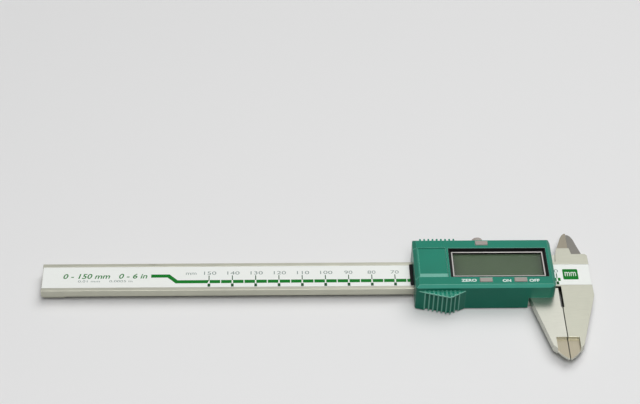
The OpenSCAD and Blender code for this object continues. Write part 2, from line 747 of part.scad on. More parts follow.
module key_on_off() {
    on_slider() key(key_places[1]);
}

module key_mode() {
    on_slider() key(key_places[2]);
}

module key_switches() {
    on_slider() color(dark_steel) for (k = key_places) {
        block([k[0] - switch_r, k[1] - 1.1, board_z1], [k[0] + switch_r, k[1] + 1.1, board_z1 + 0.5]);
        rod_z(k[0], k[1], board_z1, board_z1 + switch_h, 0.7);
    }
}

module display_bezel() {
    g = [fit_gap, fit_gap];
    lip = [bezel_lip, bezel_lip];
    flange = [bezel_flange, bezel_flange];
    lcd_room = [bezel_w / 2, bezel_w / 2];
    lo = [disp_x0, disp_lo];
    hi = [disp_x1, disp_hi];
    on_slider() color(black) difference() {
        union() {
            translate([0, 0, front_z0 - 0.5]) linear_extrude(bezel_z1 - front_z0 + 0.5) panel(lo + g, hi - g);
            translate([0, 0, bezel_z1 - eps]) linear_extrude(front_z1 - 0.1 - bezel_z1) difference() {
                panel(lo + g, hi - g);
                panel(lo + g + lip, hi - g - lip);
            }
            translate([0, 0, bezel_z0]) linear_extrude(front_z0 - slim_gap - bezel_z0)
                panel(lo - flange, hi + flange);
        }
        translate([0, 0, board_z1]) linear_extrude(bezel_z1) panel(hole_lo, hole_hi);
        translate([0, 0, board_z1]) linear_extrude(lcd_z1 + slim_gap - board_z1)
            panel(lo + lcd_room, hi - lcd_room);
    }
}

module display_frame() {
    on_slider() color(bright) translate([0, 0, lcd_z1 + slim_gap])
        linear_extrude(bezel_z1 + 0.05 - lcd_z1 - slim_gap) difference() {
            panel(hole_lo + pane_gap, hole_hi - pane_gap);
            panel(hole_lo + pane_gap + frame_rim, hole_hi - pane_gap - frame_rim);
        }
}

module display_window() {
    z1 = bezel_z1 - 0.35;
    on_slider() color([0.85, 0.9, 0.9, 0.3]) translate([0, 0, z1 - window_t]) linear_extrude(window_t)
        panel(hole_lo + 2 * pane_gap + frame_rim, hole_hi - 2 * pane_gap - frame_rim);
}

module lcd_panel() {
    g = bezel_w / 2 + fit_gap;
    on_slider() color([0.42, 0.47, 0.37])
        block([disp_x0 + g, disp_lo + g, lcd_z0], [disp_x1 - g, disp_hi - g, lcd_z1]);
}

module contact_strip() {
    y1 = disp_hi - bezel_w / 2 - 2 * fit_gap;
    on_slider() color("dimgray")
        block([disp_x0 + 3, y1 - 1.6, board_z1], [disp_x1 - 3, y1, lcd_z0]);
}

module main_board() {
    on_slider() color(board_green) difference() {
        block([board_x0, room_lo + fit_gap, board_z0], [board_x1, room_hi - fit_gap, board_z1]);
        for (x = post_x, y = post_y)
            rod_z(x, y, board_z0 - 1, board_z1 + 1, pin_r + fit_gap);
    }
}

module processor() {
    on_slider() color(black) rod_z((disp_x0 + disp_x1) / 2, 0, board_z1, board_z1 + 1.1, 4);
}

module battery_cell() {
    on_slider() color(bright) {
        rod_z(cell_x, 0, cell_z0, cell_z0 + 0.6, cell_r - 0.6);
        rod_z(cell_x, 0, cell_z0 + 0.5, cell_z0 + cell_h, cell_r);
    }
}

module battery_contact_minus() {
    on_slider() color(gold) {
        block([cell_x - 3, -contact_w / 2, tray_z1],
              [board_x0 + contact_foot, contact_w / 2, tray_z1 + contact_t]);
        block([board_x0 + 0.2, -contact_w / 2, tray_z1], [board_x0 + contact_foot, contact_w / 2, board_z0]);
    }
}

module battery_contact_plus() {
    x0 = cell_x + cell_r;
    on_slider() color(gold) {
        block([x0, -contact_w / 2, board_z1], [x0 + contact_t, contact_w / 2, lid_z0 - 0.8]);
        block([x0, -contact_w / 2, board_z1], [board_x0 + contact_foot, contact_w / 2, board_z1 + contact_t]);
    }
}

beam();
scale_board();
scale_label();
stop_plate();
stop_plate_screws();
slider_frame();
gib_strip();
gib_screws();
lock_screw();
depth_rod();
depth_rod_screw();
housing();
housing_screws();
scale_wiper();
battery_lid();
display_bezel();
display_frame();
display_window();
lcd_panel();
contact_strip();
main_board();
processor();
key_switches();
key_zero();
key_on_off();
key_mode();
battery_cell();
battery_contact_minus();
battery_contact_plus();
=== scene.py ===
"""A left-handed digital caliper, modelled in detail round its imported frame, in a plain studio."""

import logging
import math
from dataclasses import dataclass
from enum import Enum
from functools import cache, partial
from typing import Callable, Self, Sequence

import bmesh
import bpy
from mathutils import Matrix, Vector


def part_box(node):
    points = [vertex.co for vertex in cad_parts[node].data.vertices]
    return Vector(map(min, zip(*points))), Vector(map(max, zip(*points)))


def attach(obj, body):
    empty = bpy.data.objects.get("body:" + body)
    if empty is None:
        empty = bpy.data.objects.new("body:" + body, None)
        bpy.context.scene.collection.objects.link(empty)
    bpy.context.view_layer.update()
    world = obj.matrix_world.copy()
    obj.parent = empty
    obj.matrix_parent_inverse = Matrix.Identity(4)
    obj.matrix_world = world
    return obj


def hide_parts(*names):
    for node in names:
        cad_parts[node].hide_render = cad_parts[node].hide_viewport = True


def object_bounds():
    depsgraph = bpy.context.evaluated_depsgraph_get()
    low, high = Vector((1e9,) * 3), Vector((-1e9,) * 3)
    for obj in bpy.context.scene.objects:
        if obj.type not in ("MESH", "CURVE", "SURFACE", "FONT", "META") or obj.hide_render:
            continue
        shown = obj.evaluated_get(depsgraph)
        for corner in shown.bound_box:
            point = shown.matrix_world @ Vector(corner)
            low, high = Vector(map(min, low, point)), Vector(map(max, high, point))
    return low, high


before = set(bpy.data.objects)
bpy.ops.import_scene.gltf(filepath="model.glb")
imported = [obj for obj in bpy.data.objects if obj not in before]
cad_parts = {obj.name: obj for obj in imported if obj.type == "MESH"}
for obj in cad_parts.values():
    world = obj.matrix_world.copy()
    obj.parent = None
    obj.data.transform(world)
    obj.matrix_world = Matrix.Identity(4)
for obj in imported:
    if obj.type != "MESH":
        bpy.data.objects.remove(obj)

CAD_BOX = [[float(v) for v in corner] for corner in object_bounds()]
MM = 0.001
LOG = logging.getLogger("caliper")
Point = Sequence[float]
Socket = bpy.types.NodeSocket


class Body(Enum):
    """The bodies that a piece can ride on."""

    BEAM = "beam"
    SLIDER = "slider"
    LOCK_SCREW = "lock_screw"
    LID = "battery_lid"
    KEY_ZERO = "key_zero"
    KEY_ON_OFF = "key_on_off"
    KEY_MODE = "key_mode"


class Part(Enum):
    """What an edit-mode step selects."""

    VERT = "verts"
    EDGE = "edges"
    FACE = "faces"


def srgb(red: float, green: float, blue: float) -> tuple[float, float, float, float]:
    """Turns a colour's 0-255 parts into linear light.

    Args:
        red: Red part, 0 to 255.
        green: Green part, 0 to 255.
        blue: Blue part, 0 to 255.

    Returns:
        Linear red, green, blue and a full alpha.
    """
    parts = [part / 255 for part in (red, green, blue)]
    linear = [p / 12.92 if p <= 0.04045 else ((p + 0.055) / 1.055) ** 2.4 for p in parts]
    return (linear[0], linear[1], linear[2], 1.0)


def low(node: str) -> Vector:
    """Lowest corner of a CAD node, in millimetres."""
    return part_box(node)[0] / MM


def high(node: str) -> Vector:
    """Highest corner of a CAD node, in millimetres."""
    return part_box(node)[1] / MM


def corners(node: str) -> tuple[Vector, Vector]:
    """Lowest and highest corner of a CAD node, in millimetres."""
    return low(node), high(node)


def centre_of(node: str) -> Vector:
    """Middle of a CAD node's box, in millimetres."""
    return (low(node) + high(node)) / 2


def middle(edge: bmesh.types.BMEdge) -> Vector:
    """Middle of an edge."""
    return (edge.verts[0].co + edge.verts[1].co) / 2


def every(item: object) -> bool:
    """Picks everything."""
    return True


def upright(edge: bmesh.types.BMEdge) -> bool:
    """Whether an edge runs straight up."""
    along = edge.verts[1].co - edge.verts[0].co
    return abs(along.z) > 0.99 * along.length


# ---------------------------------------------------------------------------------------------
# Finishes
# ---------------------------------------------------------------------------------------------


class Wiring:
    """Adds nodes to a material, a group or the world, and links them."""

    def __init__(self, tree: bpy.types.NodeTree) -> None:
        """Keeps the tree that nodes are added to."""
        self.tree = tree

    def add(self, kind: str, inputs: dict | None = None, **settings: object) -> bpy.types.Node:
        """Adds a node.

        Args:
            kind: The node's type name, without its ShaderNode prefix if it has one.
            inputs: Values or sockets for its inputs, by name or by number.
            settings: The node's own settings.

        Returns:
            The new node.
        """
        node = self.tree.nodes.new(kind if kind.startswith("Node") else "ShaderNode" + kind)
        for name, value in settings.items():
            setattr(node, name, value)
        return self.fill(node, inputs or {})

    def fill(self, node: bpy.types.Node, inputs: dict) -> bpy.types.Node:
        """Links or sets a node's inputs.

        Args:
            node: The node.
            inputs: A socket to link or a plain value to set, by the input's name or number.

        Returns:
            The node.
        """
        for name, value in inputs.items():
            if isinstance(value, Socket):
                self.tree.links.new(value, node.inputs[name])
            else:
                node.inputs[name].default_value = value
        return node

    def math(self, operation: str, first: object, second: object = 0.0) -> Socket:
        """The result of a math node."""
        return self.add("Math", {0: first, 1: second}, operation=operation).outputs[0]

    def average(self, first: object, second: object) -> Socket:
        """Half the sum of two values."""
        return self.math("MULTIPLY", self.math("ADD", first, second), 0.5)

    def spread(self, value: object, lowest: float, highest: float) -> Socket:
        """Maps a value from 0-1 to a range."""
        return self.add("MapRange", {"Value": value, "To Min": lowest, "To Max": highest}).outputs[0]

    def around(self, value: object, centre: float, reach: float) -> Socket:
        """Maps a value from 0-1 to a range round a centre."""
        return self.spread(value, centre - reach, centre + reach)

    def blend(self, share: object, first: object, second: object) -> Socket:
        """Mixes two colours; the share is the second one's."""
        return self.add("Mix", {"Factor": share, 6: first, 7: second}, data_type="RGBA").outputs[2]

    def place(self) -> Socket:
        """The piece's own coordinates, in metres."""
        return self.add("TexCoord").outputs["Object"]

    def mottle(self, size: float, stretch: Point = (1, 1, 1)) -> Socket:
        """Uneven value in spots of a size in millimetres, stretched along each axis."""
        values = {"Place": self.place(), "Stretch": tuple(stretch), "Size": size * MM}
        return self.add("Group", values, node_tree=mottle_group()).outputs[0]

    def tone(self, colour: object, value: object, share: float) -> Socket:
        """A colour made lighter or darker by up to a share, as a value runs from 0 to 1."""
        values = {"Colour": colour, "Value": value, "Share": share}
        return self.add("Group", values, node_tree=tone_group()).outputs[0]

    def edges(self, radius: float, breakup: object) -> Socket:
        """Mask of the edges within a radius in millimetres, for a painted highlight, made uneven by wear
        from 0 to 1.
        """
        values = {"Radius": radius * MM, "Wear": breakup}
        return self.add("Group", values, node_tree=edge_group()).outputs[0]

    def relief(self, height: object, depth: float) -> Socket:
        """Normals of a fine relief, from heights 0-1 and a depth in millimetres."""
        return self.add("Bump", {"Height": height, "Distance": depth * MM, "Strength": 1.0}).outputs[0]


def start_group(name: str, result: str, **inputs: str) -> tuple[Wiring, dict, bpy.types.Node]:
    """Starts a node group whose one output is called Result.

    Args:
        name: The group's name.
        result: Type of its output socket.
        inputs: Type of each input socket, by name.

    Returns:
        The wiring, the group's inputs and its output node.
    """
    tree = bpy.data.node_groups.new(name, "ShaderNodeTree")
    for socket, kind in inputs.items():
        tree.interface.new_socket(name=socket, in_out="INPUT", socket_type="NodeSocket" + kind)
    tree.interface.new_socket(name="Result", in_out="OUTPUT", socket_type="NodeSocket" + result)
    wiring = Wiring(tree)
    return wiring, wiring.add("NodeGroupInput").outputs, wiring.add("NodeGroupOutput")


@cache
def mottle_group() -> bpy.types.NodeTree:
    """Soft uneven value, 0-1: Place times Stretch, in spots of Size metres.

    Returns:
        The group.
    """
    wiring, given, end = start_group("mottle", "Float", Place="Vector", Stretch="Vector", Size="Float")
    place = wiring.add("VectorMath", {0: given["Place"], 1: given["Stretch"]}, operation="MULTIPLY")
    scale = wiring.math("DIVIDE", 1.0, given["Size"])
    noise = wiring.add("TexNoise", {"Vector": place.outputs[0], "Scale": scale, "Detail": 3.0})
    wiring.fill(end, {"Result": noise.outputs[0]})
    return wiring.tree


@cache
def tone_group() -> bpy.types.NodeTree:
    """Makes a Colour lighter or darker by up to a Share, as Value runs from 0 to 1.

    Returns:
        The group.
    """
    wiring, given, end = start_group("tone", "Color", Colour="Color", Value="Float", Share="Float")
    swing = wiring.math("MULTIPLY", wiring.spread(given["Value"], -1.0, 1.0), given["Share"])
    factor = wiring.math("ADD", swing, 1.0)
    scaled = wiring.add("VectorMath", {0: given["Colour"], "Scale": factor}, operation="SCALE")
    wiring.fill(end, {"Result": scaled.outputs[0]})
    return wiring.tree


@cache
def edge_group() -> bpy.types.NodeTree:
    """Mask of a surface's edges within Radius, where a highlight is painted, made uneven by Wear 0-1.

    Returns:
        The group.
    """
    wiring, given, end = start_group("edges", "Float", Radius="Float", Wear="Float")
    rounded = wiring.add("Bevel", {"Radius": given["Radius"]}, samples=4)
    flat = wiring.add("NewGeometry").outputs["Normal"]
    facing = wiring.add("VectorMath", {0: rounded.outputs[0], 1: flat}, operation="DOT_PRODUCT")
    turn = wiring.math("MULTIPLY", wiring.math("SUBTRACT", 1.0, facing.outputs["Value"]), 6.0)
    broken = wiring.math("MULTIPLY", turn, wiring.spread(given["Wear"], 0.2, 1.4))
    wiring.fill(end, {"Result": wiring.math("MINIMUM", broken, 1.0)})
    return wiring.tree


@dataclass(frozen=True)
class Finish:
    """A named material, made once from its own values.

    Attributes:
        name: Name of the material.
        colour: Its main colour.
    """

    name: str
    colour: tuple

    @cache
    def material(self) -> bpy.types.Material:
        """The finish's material, made at its first use.

        Returns:
            The material.
        """
        material = bpy.data.materials.new(self.name)
        material.use_nodes = True
        wiring = Wiring(material.node_tree)
        wiring.fill(material.node_tree.nodes["Principled BSDF"], self.looks(wiring))
        return material

    def looks(self, wiring: Wiring) -> dict:
        """The shader's inputs by name, as sockets or plain values; each finish has its own."""
        raise NotImplementedError

    def scaled(self, *shares: float) -> tuple:
        """The main colour with its parts times their shares, up to full light."""
        return tuple(min(1.0, part * share) for part, share in zip(self.colour, shares)) + (1.0,)


@dataclass(frozen=True)
class Steel(Finish):
    """Bare steel with fine lines from grinding, handling marks and a painted highlight along its edges.

    Attributes:
        rough: Roughness between the lines.
        across: Share of each coordinate that the lines are drawn along; small means long lines.
        line: Width of a line, in millimetres.
        smudge: Size of the handling marks, in millimetres.
        contrast: How much lines and marks change the tone.
        edge_light: How much brighter the edges are painted, as a highlight.
    """

    rough: float = 0.38
    across: Point = (0.02, 1.0, 1.0)
    line: float = 0.12
    smudge: float = 9.0
    contrast: float = 0.24
    edge_light: float = 1.25

    def looks(self, wiring: Wiring) -> dict:
        """Lines, smudges and a painted edge highlight on a metal base.

        Args:
            wiring: Adds the nodes.

        Returns:
            The shader's inputs.
        """
        lines, smudge = wiring.mottle(self.line, self.across), wiring.mottle(self.smudge)
        tone = wiring.tone(self.colour, wiring.average(lines, smudge), self.contrast)
        # the edge mask lightens the colour: a painted highlight along the edges
        mask = wiring.math("MULTIPLY", wiring.edges(0.15, smudge), 0.5)
        rough = wiring.math("ADD", wiring.around(lines, 0, 0.06), wiring.around(smudge, 0, 0.08))
        return {
            "Base Color": wiring.blend(mask, tone, self.scaled(*(self.edge_light,) * 3)),
            "Roughness": wiring.math("ADD", rough, self.rough),
            "Metallic": 1.0,
            "Normal": wiring.relief(lines, 0.004),
        }


@dataclass(frozen=True)
class Plastic(Finish):
    """Moulded plastic with a fine spark-eroded grain and edges polished by hands.

    Attributes:
        rough: Roughness of the flats.
        grain: Size of the grain, in millimetres.
        depth: Depth of the grain, in millimetres.
        edge: Colour of the highlight painted on the edges.
        edge_share: How strongly they show.
        cloud: Size of the clouding, in millimetres.
        gloss: Specular level.
    """

    rough: float = 0.42
    grain: float = 0.16
    depth: float = 0.006
    edge: tuple = (0.5, 0.5, 0.5, 1.0)
    edge_share: float = 0.35
    cloud: float = 14.0
    gloss: float = 0.2

    def looks(self, wiring: Wiring) -> dict:
        """Grain, slight clouding and a painted highlight on the edges.

        Args:
            wiring: Adds the nodes.

        Returns:
            The shader's inputs.
        """
        grain, cloud = wiring.mottle(self.grain), wiring.mottle(self.cloud)
        tone = wiring.tone(wiring.tone(self.colour, cloud, 0.12), grain, 0.1)
        # the edge mask blends in the edge colour: a painted highlight on the edges
        share = wiring.math("MULTIPLY", wiring.edges(0.3, cloud), self.edge_share)
        rough = wiring.math("ADD", wiring.around(cloud, 0, 0.05), self.rough)
        return {
            "Base Color": wiring.blend(share, tone, self.edge),
            "Roughness": wiring.math("SUBTRACT", rough, wiring.math("MULTIPLY", share, 0.2)),
            "Specular IOR Level": self.gloss,
            "Normal": wiring.relief(grain, self.depth),
        }


@dataclass(frozen=True)
class Ink(Finish):
    """Screen-printed ink, slightly uneven in cover.

    Attributes:
        rough: Roughness of the ink.
        spot: Size of the thin spots, in millimetres.
        gloss: Specular level.
    """

    rough: float = 0.5
    spot: float = 0.35
    gloss: float = 0.15

    def looks(self, wiring: Wiring) -> dict:
        """Uneven cover and a fine relief.

        Args:
            wiring: Adds the nodes.

        Returns:
            The shader's inputs.
        """
        cover = wiring.mottle(self.spot)
        return {
            "Base Color": wiring.tone(self.colour, cover, 0.16),
            "Roughness": wiring.around(cover, self.rough, 0.08),
            "Specular IOR Level": self.gloss,
            "Normal": wiring.relief(cover, 0.002),
        }


@dataclass(frozen=True)
class Film(Finish):
    """White printed film with a faint weave of its backing and a soft gloss.

    Attributes:
        rough: Roughness of the film.
        weave: Width of a thread, in millimetres.
        spot: Size of the yellowed spots, in millimetres.
        aged: Share of each part of the colour that is left in them.
    """

    rough: float = 0.45
    weave: float = 0.2
    spot: float = 18.0
    aged: Point = (0.97, 0.96, 0.92)

    def looks(self, wiring: Wiring) -> dict:
        """Two crossed fine textures, and slight yellowing in spots.

        Args:
            wiring: Adds the nodes.

        Returns:
            The shader's inputs.
        """
        weave = wiring.average(*(wiring.mottle(self.weave, way) for way in ((0.1, 1, 1), (1, 0.1, 1))))
        age = wiring.mottle(self.spot)
        tone = wiring.tone(self.colour, weave, 0.04)
        return {
            "Base Color": wiring.blend(wiring.math("MULTIPLY", age, 0.5), tone, self.scaled(*self.aged)),
            "Roughness": wiring.around(age, self.rough, 0.06),
            "Normal": wiring.relief(weave, 0.003),
        }


@dataclass(frozen=True)
class Pane(Finish):
    """Clear window with a few wiping marks.

    Attributes:
        cover: How much of what lies behind it hides.
        gloss: Specular level.
    """

    cover: float = 0.07
    gloss: float = 0.25

    def looks(self, wiring: Wiring) -> dict:
        """Wiping marks in roughness and in how clear it is.

        Args:
            wiring: Adds the nodes.

        Returns:
            The shader's inputs.
        """
        marks = wiring.mottle(2.5, (0.25, 1, 1))
        return {
            "Base Color": wiring.tone(self.colour, marks, 0.1),
            "Alpha": wiring.spread(marks, self.cover * 0.7, self.cover * 1.3),
            "Roughness": wiring.spread(marks, 0.03, 0.16),
            "Specular IOR Level": self.gloss,
        }


@dataclass(frozen=True)
class CrystalPanel(Finish):
    """Liquid crystal panel with nothing shown: grey-green, uneven, darker to its rim: its own dark
    border, and painted shadow where the centre is set off.

    Attributes:
        rim: Colour at its rim, of the dark border and the painted shadow.
        centre: Its middle, in millimetres.
        reach: Half its width and height, in millimetres.
        fall: How steeply it darkens towards the ends and towards the long sides.
    """

    rim: tuple
    centre: Point
    reach: Point
    fall: Point = (10.0, 20.0)

    def looks(self, wiring: Wiring) -> dict:
        """A soft rim, the polariser's hatch and slight clouding.

        Args:
            wiring: Adds the nodes.

        Returns:
            The shader's inputs.
        """
        apart = wiring.add("SeparateXYZ", {0: wiring.place()})
        sides = []
        for place, centre, reach, fall in zip(apart.outputs, self.centre, self.reach, self.fall):
            off = wiring.math("ABSOLUTE", wiring.math("SUBTRACT", place, centre * MM))
            sides.append(wiring.math("POWER", wiring.math("DIVIDE", off, reach * MM), fall))
        rim = wiring.math("MINIMUM", wiring.math("MAXIMUM", *sides), 1.0)
        cloud, hatch = wiring.mottle(11.0), wiring.mottle(0.12, (1, 0.08, 1))
        tone = wiring.tone(wiring.tone(self.colour, cloud, 0.14), hatch, 0.05)
        return {
            "Base Color": wiring.blend(rim, tone, self.rim),
            "Roughness": wiring.spread(cloud, 0.3, 0.42),
            "Normal": wiring.relief(hatch, 0.001),
        }


@dataclass(frozen=True)
class Board(Finish):
    """Circuit board: lacquer over copper tracks.

    Attributes:
        track: Colour over the copper.
        pitch: Distance between tracks, in millimetres.
    """

    track: tuple
    pitch: float = 1.2

    def looks(self, wiring: Wiring) -> dict:
        """Tracks as the joints of a brick pattern.

        Args:
            wiring: Adds the nodes.

        Returns:
            The shader's inputs.
        """
        bricks = {"Vector": wiring.place(), "Scale": 1 / (self.pitch * MM)}
        bricks |= {"Mortar Size": 0.09, "Row Height": 1.0, "Brick Width": 4.0}
        bricks |= {"Color1": (0, 0, 0, 1), "Color2": (0, 0, 0, 1), "Mortar": (1, 1, 1, 1)}
        tracks, grain = wiring.add("TexBrick", bricks).outputs, wiring.mottle(0.3)
        tone = wiring.tone(self.colour, grain, 0.12)
        return {
            "Base Color": wiring.blend(tracks["Color"], tone, self.track),
            "Roughness": wiring.spread(grain, 0.25, 0.4),
            "Normal": wiring.relief(tracks["Fac"], 0.02),
        }


@dataclass(frozen=True)
class Turned(Finish):
    """Bright metal turned or pressed round an upright axis.

    Attributes:
        centre: Where the axis stands, in millimetres.
        ring: Distance between the rings, in millimetres.
        rough: Roughness.
    """

    centre: Point
    ring: float = 0.14
    rough: float = 0.42

    def looks(self, wiring: Wiring) -> dict:
        """Rings round the axis, and smudges.

        Args:
            wiring: Adds the nodes.

        Returns:
            The shader's inputs.
        """
        axis = (self.centre[0] * MM, self.centre[1] * MM, 0.0)
        moved = wiring.add("VectorMath", {0: wiring.place(), 1: axis}, operation="SUBTRACT").outputs[0]
        waves = {"Vector": moved, "Scale": 0.3 / (self.ring * MM), "Distortion": 0.6, "Detail": 2.0}
        rings = wiring.add("TexWave", waves, wave_type="RINGS", rings_direction="Z").outputs["Fac"]
        smudge = wiring.mottle(3.0)
        return {
            "Base Color": wiring.tone(self.colour, wiring.average(rings, smudge), 0.08),
            "Roughness": wiring.spread(smudge, self.rough - 0.08, self.rough + 0.12),
            "Metallic": 1.0,
            "Normal": wiring.relief(rings, 0.0008),
        }


@dataclass(frozen=True)
class Layered(Finish):
    """Rubber strip of thin conducting and insulating layers.

    Attributes:
        pale: Colour of an insulating layer.
        pitch: Width of two layers, in millimetres.
    """

    pale: tuple
    pitch: float = 0.2

    def looks(self, wiring: Wiring) -> dict:
        """Bands along the strip.

        Args:
            wiring: Adds the nodes.

        Returns:
            The shader's inputs.
        """
        waves = {"Vector": wiring.place(), "Scale": 0.314 / (self.pitch * MM)}
        bands = wiring.add("TexWave", waves, wave_type="BANDS", bands_direction="X").outputs["Fac"]
        rough = wiring.spread(wiring.mottle(0.4), 0.6, 0.8)
        return {"Base Color": wiring.blend(bands, self.colour, self.pale), "Roughness": rough}


ACROSS = (1.0, 0.03, 1.0)  # ground across the beam
EDGE_HIGHLIGHT_SHARE = 0.9  # share of the painted highlight on the edges
# MINT and PALE_HIGHLIGHT are colours of painted edge highlights
MINT = srgb(140, 214, 192)
PALE_HIGHLIGHT = srgb(160, 226, 204)

BODY_STEEL = Steel("ground_steel", srgb(183, 183, 169), 0.32)
# darker, warmer steel for the ground tips: a painted reflection; the cross-ground lines are real
TIP_REFLECTION_STEEL = Steel("fresh_ground_steel", srgb(164, 157, 138), 0.32, across=ACROSS, line=0.2)
# darker steel for the fixed inside jaw's ground facet: painted shade
INSIDE_SHADE_STEEL = Steel("inside_ground_steel", srgb(146, 140, 126), 0.34, across=ACROSS, line=0.2)
SLIDER_STEEL = Steel("ground_slider_steel", srgb(194, 194, 183), 0.32)
# grey steel for the moving inside jaw's front: painted shade
SHADED_STEEL = Steel("hollow_ground_steel", srgb(128, 126, 120), 0.4)
# near black for the sides of the narrow relief slot: painted shade; its higher roughness is the rougher
# cut's own
RELIEF_SHADE_STEEL = Steel("relief_steel", srgb(64, 60, 54), 0.6)
SCREW_STEEL = Steel("screw_steel", srgb(150, 148, 142), 0.3, across=(1, 1, 1), line=0.3)
BRASS = Steel("brass_strip", srgb(214, 184, 112), 0.34)
CONTACT = Steel("contact_metal", srgb(208, 184, 120), 0.26)
LABEL_FILM = Film("label_film", srgb(236, 239, 236))
GREEN_INK = Ink("green_ink", srgb(8, 114, 34))
DARK_INK = Ink("dark_ink", srgb(30, 76, 40))
GREY_INK = Ink("grey_ink", srgb(132, 146, 141))
WHITE_INK = Ink("white_ink", srgb(228, 238, 234), 0.4)
# the edge colours of these plastics are painted highlights along their edges
HOUSING_PLASTIC = Plastic("housing_plastic", srgb(24, 124, 102), 0.3, edge=MINT, edge_share=EDGE_HIGHLIGHT_SHARE)
# lighter green for the lower bevel: painted light, as if lit from the front
BEVEL_LIGHT_PLASTIC = Plastic("worn_plastic", srgb(54, 152, 131), 0.3, edge=srgb(150, 222, 200), edge_share=EDGE_HIGHLIGHT_SHARE)
# lighter green for the lid's sloping band: a painted highlight
BAND_HIGHLIGHT_PLASTIC = Plastic("band_plastic", srgb(112, 176, 159), 0.3, edge=PALE_HIGHLIGHT)
# pale green for painted highlights: the grip's rib fronts and rim, and the bevel's rounded edge
EDGE_HIGHLIGHT_PLASTIC = Plastic("rubbed_plastic", srgb(132, 202, 180), 0.26, edge=PALE_HIGHLIGHT)
BLACK_PLASTIC = Plastic("bezel_plastic", srgb(16, 16, 17), 0.5, edge=srgb(36, 36, 38))
FELT = Plastic("felt", srgb(30, 30, 31), 0.9, grain=0.12, depth=0.04, edge_share=0.0)
KEY_PLASTIC = Plastic("key_plastic", srgb(160, 152, 146), 0.45, edge=srgb(205, 196, 190))
KNOB_PLASTIC = Plastic("knob_finish", srgb(170, 160, 154), 0.4, edge=srgb(215, 208, 202))
BRIGHT_FRAME = Steel("bright_frame", srgb(181, 178, 175), 0.3, line=0.08)
WINDOW = Pane("window", srgb(80, 86, 78))
LACQUER = Board("circuit_board", srgb(18, 72, 44), srgb(48, 110, 66))
RUBBER = Layered("contact_rubber", srgb(24, 24, 26), srgb(120, 118, 112))


# ---------------------------------------------------------------------------------------------
# Modelling
# ---------------------------------------------------------------------------------------------


